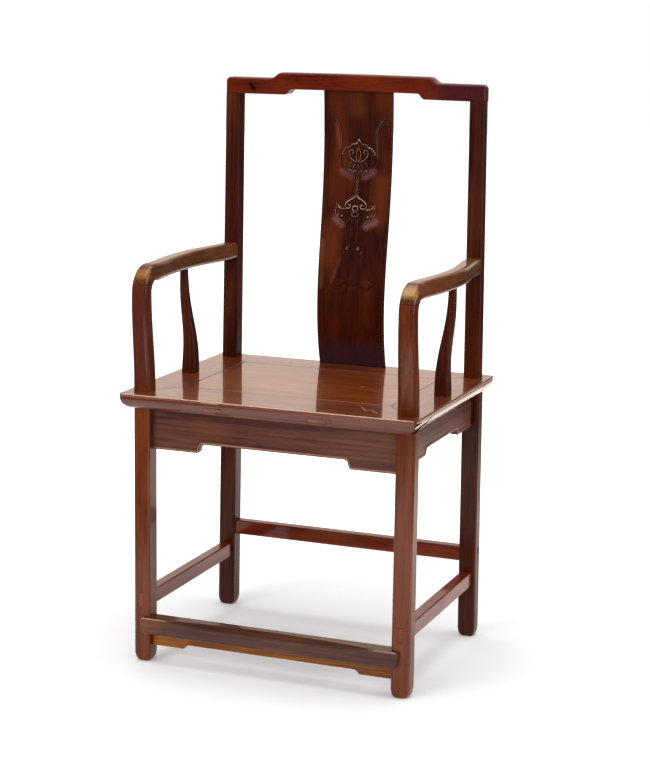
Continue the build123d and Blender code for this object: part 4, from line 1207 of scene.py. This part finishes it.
def paper_in_air(tree, direction):
    """1 in the directions in which the hanging paper stands, 0 in the dark room around it."""
    across, along = on_sweep(tree, direction)
    # a direction away from the paper gets next to no distance towards it, so it falls beside it
    along = node(tree, "ShaderNodeMath", {"operation": "MAXIMUM"}, {1: 0.001}, {0: along}).outputs[0]
    side = node(tree, "ShaderNodeMath", {"operation": "DIVIDE"}, None, {0: across, 1: along}).outputs[0]
    side = node(tree, "ShaderNodeMath", {"operation": "ABSOLUTE"}, None, {0: side}).outputs[0]
    up = node(tree, "ShaderNodeSeparateXYZ", None, None, {0: direction}).outputs["Z"]
    rise = node(tree, "ShaderNodeMath", {"operation": "DIVIDE"}, None, {0: up, 1: along}).outputs[0]
    return past_limits(tree, ((side, 0.75, 0.45), (rise, 1.3, 0.8)))


def floor_paper():
    """Matt white paper: the eye gets an even white that keeps the chair's soft shadow."""
    settings = bpy.context.scene.oha_stage
    material = bpy.data.materials.new("matt_white_paper")
    material.use_nodes = True
    tree = material.node_tree
    tree.nodes.clear()
    place = node(tree, "ShaderNodeTexCoord").outputs["Object"]
    distance = node(tree, "ShaderNodeVectorMath", {"operation": "LENGTH"}, None,
                    {0: place}).outputs["Value"]
    # the lamps fall off away from the chair, so the paper's own light makes up for it there
    lift = node(tree, "ShaderNodeMapRange", {"interpolation_type": "SMOOTHSTEP"},
                {"From Min": 0.35, "From Max": 1.6, "To Min": settings.floor_lift, "To Max": 1.0},
                {"Value": distance}).outputs[0]
    # the paper's tooth, about 1 mm wide
    tooth = node(tree, "ShaderNodeTexNoise", None, {"Scale": FINE_SCALE, "Detail": 2.0},
                 {"Vector": place}).outputs["Fac"]
    relief = node(tree, "ShaderNodeBump", None, {"Strength": 0.05, "Distance": 0.1 * MM},
                  {"Height": tooth}).outputs[0]
    paper = node(tree, "ShaderNodeBsdfDiffuse", None, {"Color": tuple(settings.paper_colour)},
                 {"Normal": relief})
    path = node(tree, "ShaderNodeLightPath")
    clear = node(tree, "ShaderNodeMath", {"operation": "MAXIMUM"}, None,
                 {0: path.outputs["Is Camera Ray"], 1: path.outputs["Is Transmission Ray"]}).outputs[0]
    mirrored = node(tree, "ShaderNodeMath", {"operation": "MULTIPLY"}, None,
                    {0: path.outputs["Is Glossy Ray"], 1: paper_on_floor(tree, place)}).outputs[0]
    seen = node(tree, "ShaderNodeMath", {"operation": "MAXIMUM"}, None, {0: clear, 1: mirrored}).outputs[0]
    strength = node(tree, "ShaderNodeMath", {"operation": "MULTIPLY"}, None, {0: lift, 1: seen}).outputs[0]
    warmed = node(tree, "ShaderNodeMix", {"data_type": "RGBA"}, {"A": WHITE, "B": linear(FLOOR_REFLECTED)},
                  {"Factor": path.outputs["Is Glossy Ray"]}).outputs["Result"]
    glow = node(tree, "ShaderNodeEmission", None, None, {"Color": warmed, "Strength": strength})
    both = node(tree, "ShaderNodeAddShader", None, None, {0: paper.outputs[0], 1: glow.outputs[0]})
    # off the paper the room's floor is dark, which only reflections meet
    dark = node(tree, "ShaderNodeMath", {"operation": "SUBTRACT"}, None,
                {0: path.outputs["Is Glossy Ray"], 1: mirrored}).outputs[0]
    room = node(tree, "ShaderNodeEmission", None, {"Color": tuple(settings.room_colour), "Strength": 1.0})
    surface = node(tree, "ShaderNodeMixShader", None, None,
                   {"Fac": dark, 1: both.outputs[0], 2: room.outputs[0]})
    node(tree, "ShaderNodeOutputMaterial", None, None, {"Surface": surface.outputs[0]})
    return material


def light_world(tree):
    """White where the eye looks, paper and a dark room where a reflection looks, even light elsewhere."""
    settings = bpy.context.scene.oha_stage
    tree.nodes.clear()
    direction = node(tree, "ShaderNodeTexCoord").outputs["Generated"]
    paper = paper_in_air(tree, direction)
    path = node(tree, "ShaderNodeLightPath")
    clear = node(tree, "ShaderNodeMath", {"operation": "MAXIMUM"}, None,
                 {0: path.outputs["Is Camera Ray"], 1: path.outputs["Is Transmission Ray"]}).outputs[0]
    room = node(tree, "ShaderNodeMix", {"data_type": "RGBA"},
                {"A": tuple(settings.room_colour), "B": linear(SWEEP_REFLECTED)},
                {"Factor": paper}).outputs["Result"]
    even = (settings.air_light,) * 3 + (1.0,)
    colour = node(tree, "ShaderNodeMix", {"data_type": "RGBA"}, {"A": even},
                  {"Factor": path.outputs["Is Glossy Ray"], "B": room}).outputs["Result"]
    colour = node(tree, "ShaderNodeMix", {"data_type": "RGBA"}, {"B": WHITE},
                  {"Factor": clear, "A": colour}).outputs["Result"]
    air = node(tree, "ShaderNodeBackground", None, {"Strength": 1.0}, {"Color": colour})
    node(tree, "ShaderNodeOutputWorld", None, None, {"Surface": air.outputs[0]})


def soft_lamp(name, place, aim, size, power, reflected):
    """A square softbox that faces a point, and that reflections show or pass over."""
    lamp = bpy.data.lights.new(name, "AREA")
    lamp.size = size
    lamp.energy = power
    made = bpy.data.objects.new(name, lamp)
    bpy.context.scene.collection.objects.link(made)
    made.location = place
    made.rotation_euler = (Vector(aim) - Vector(place)).to_track_quat("-Z", "Y").to_euler()
    made.visible_glossy = reflected


def place_camera(lens):
    """A long lens a little above the back's height, to the right of the chair, with a slight roll."""
    level = math.cos(CAMERA_ELEVATION)
    back = Vector((math.sin(CAMERA_AZIMUTH) * level, -math.cos(CAMERA_AZIMUTH) * level,
                   math.sin(CAMERA_ELEVATION)))
    right = Vector((math.cos(CAMERA_AZIMUTH), math.sin(CAMERA_AZIMUTH), 0.0))
    up = back.cross(right)
    turned_right = right * math.cos(CAMERA_ROLL) + up * math.sin(CAMERA_ROLL)
    turned_up = up * math.cos(CAMERA_ROLL) - right * math.sin(CAMERA_ROLL)
    data = bpy.data.cameras.new("camera")
    data.lens = lens
    data.sensor_width = CAMERA_FRAME
    camera = bpy.data.objects.new("camera", data)
    bpy.context.scene.collection.objects.link(camera)
    turn = Matrix((turned_right, turned_up, back)).transposed()
    camera.matrix_world = Matrix.Translation(CAMERA_PLACE) @ turn.to_4x4()
    bpy.context.scene.camera = camera


# ---------------------------------------------------------------- add-on


class OHA_PT_panel(bpy.types.Panel):
    """Lists the armchair's steps and settings"""

    bl_label = "Official Hat Armchair"
    bl_idname = "OHA_PT_panel"
    bl_space_type = "VIEW_3D"
    bl_region_type = "UI"
    bl_category = "Armchair"

    def draw(self, context):
        for settings in (context.scene.oha_chair, context.scene.oha_stage):
            for name in settings.bl_rna.properties.keys():
                if name not in ("rna_type", "name"):
                    self.layout.prop(settings, name)
        for operator in OPERATORS:
            self.layout.operator(operator.bl_idname)


OPERATORS = (
    OHA_OT_finish_timbers, OHA_OT_carve_splat, OHA_OT_run_beads, OHA_OT_wax_joints, OHA_OT_split_corner,
    OHA_OT_build_stage,
)
CLASSES = (OHA_ChairSettings, OHA_StageSettings, *OPERATORS, OHA_PT_panel)


def register():
    for cls in CLASSES:
        bpy.utils.register_class(cls)
    bpy.types.Scene.oha_chair = bpy.props.PointerProperty(type=OHA_ChairSettings)
    bpy.types.Scene.oha_stage = bpy.props.PointerProperty(type=OHA_StageSettings)


def unregister():
    del bpy.types.Scene.oha_stage
    del bpy.types.Scene.oha_chair
    for cls in reversed(CLASSES):
        bpy.utils.unregister_class(cls)


def main():
    register()
    bpy.ops.oha.finish_timbers()
    bpy.ops.oha.carve_splat()
    bpy.ops.oha.run_beads()
    bpy.ops.oha.wax_joints()
    bpy.ops.oha.split_corner()
    bpy.ops.oha.build_stage()


if __name__ == "__main__":
    main()
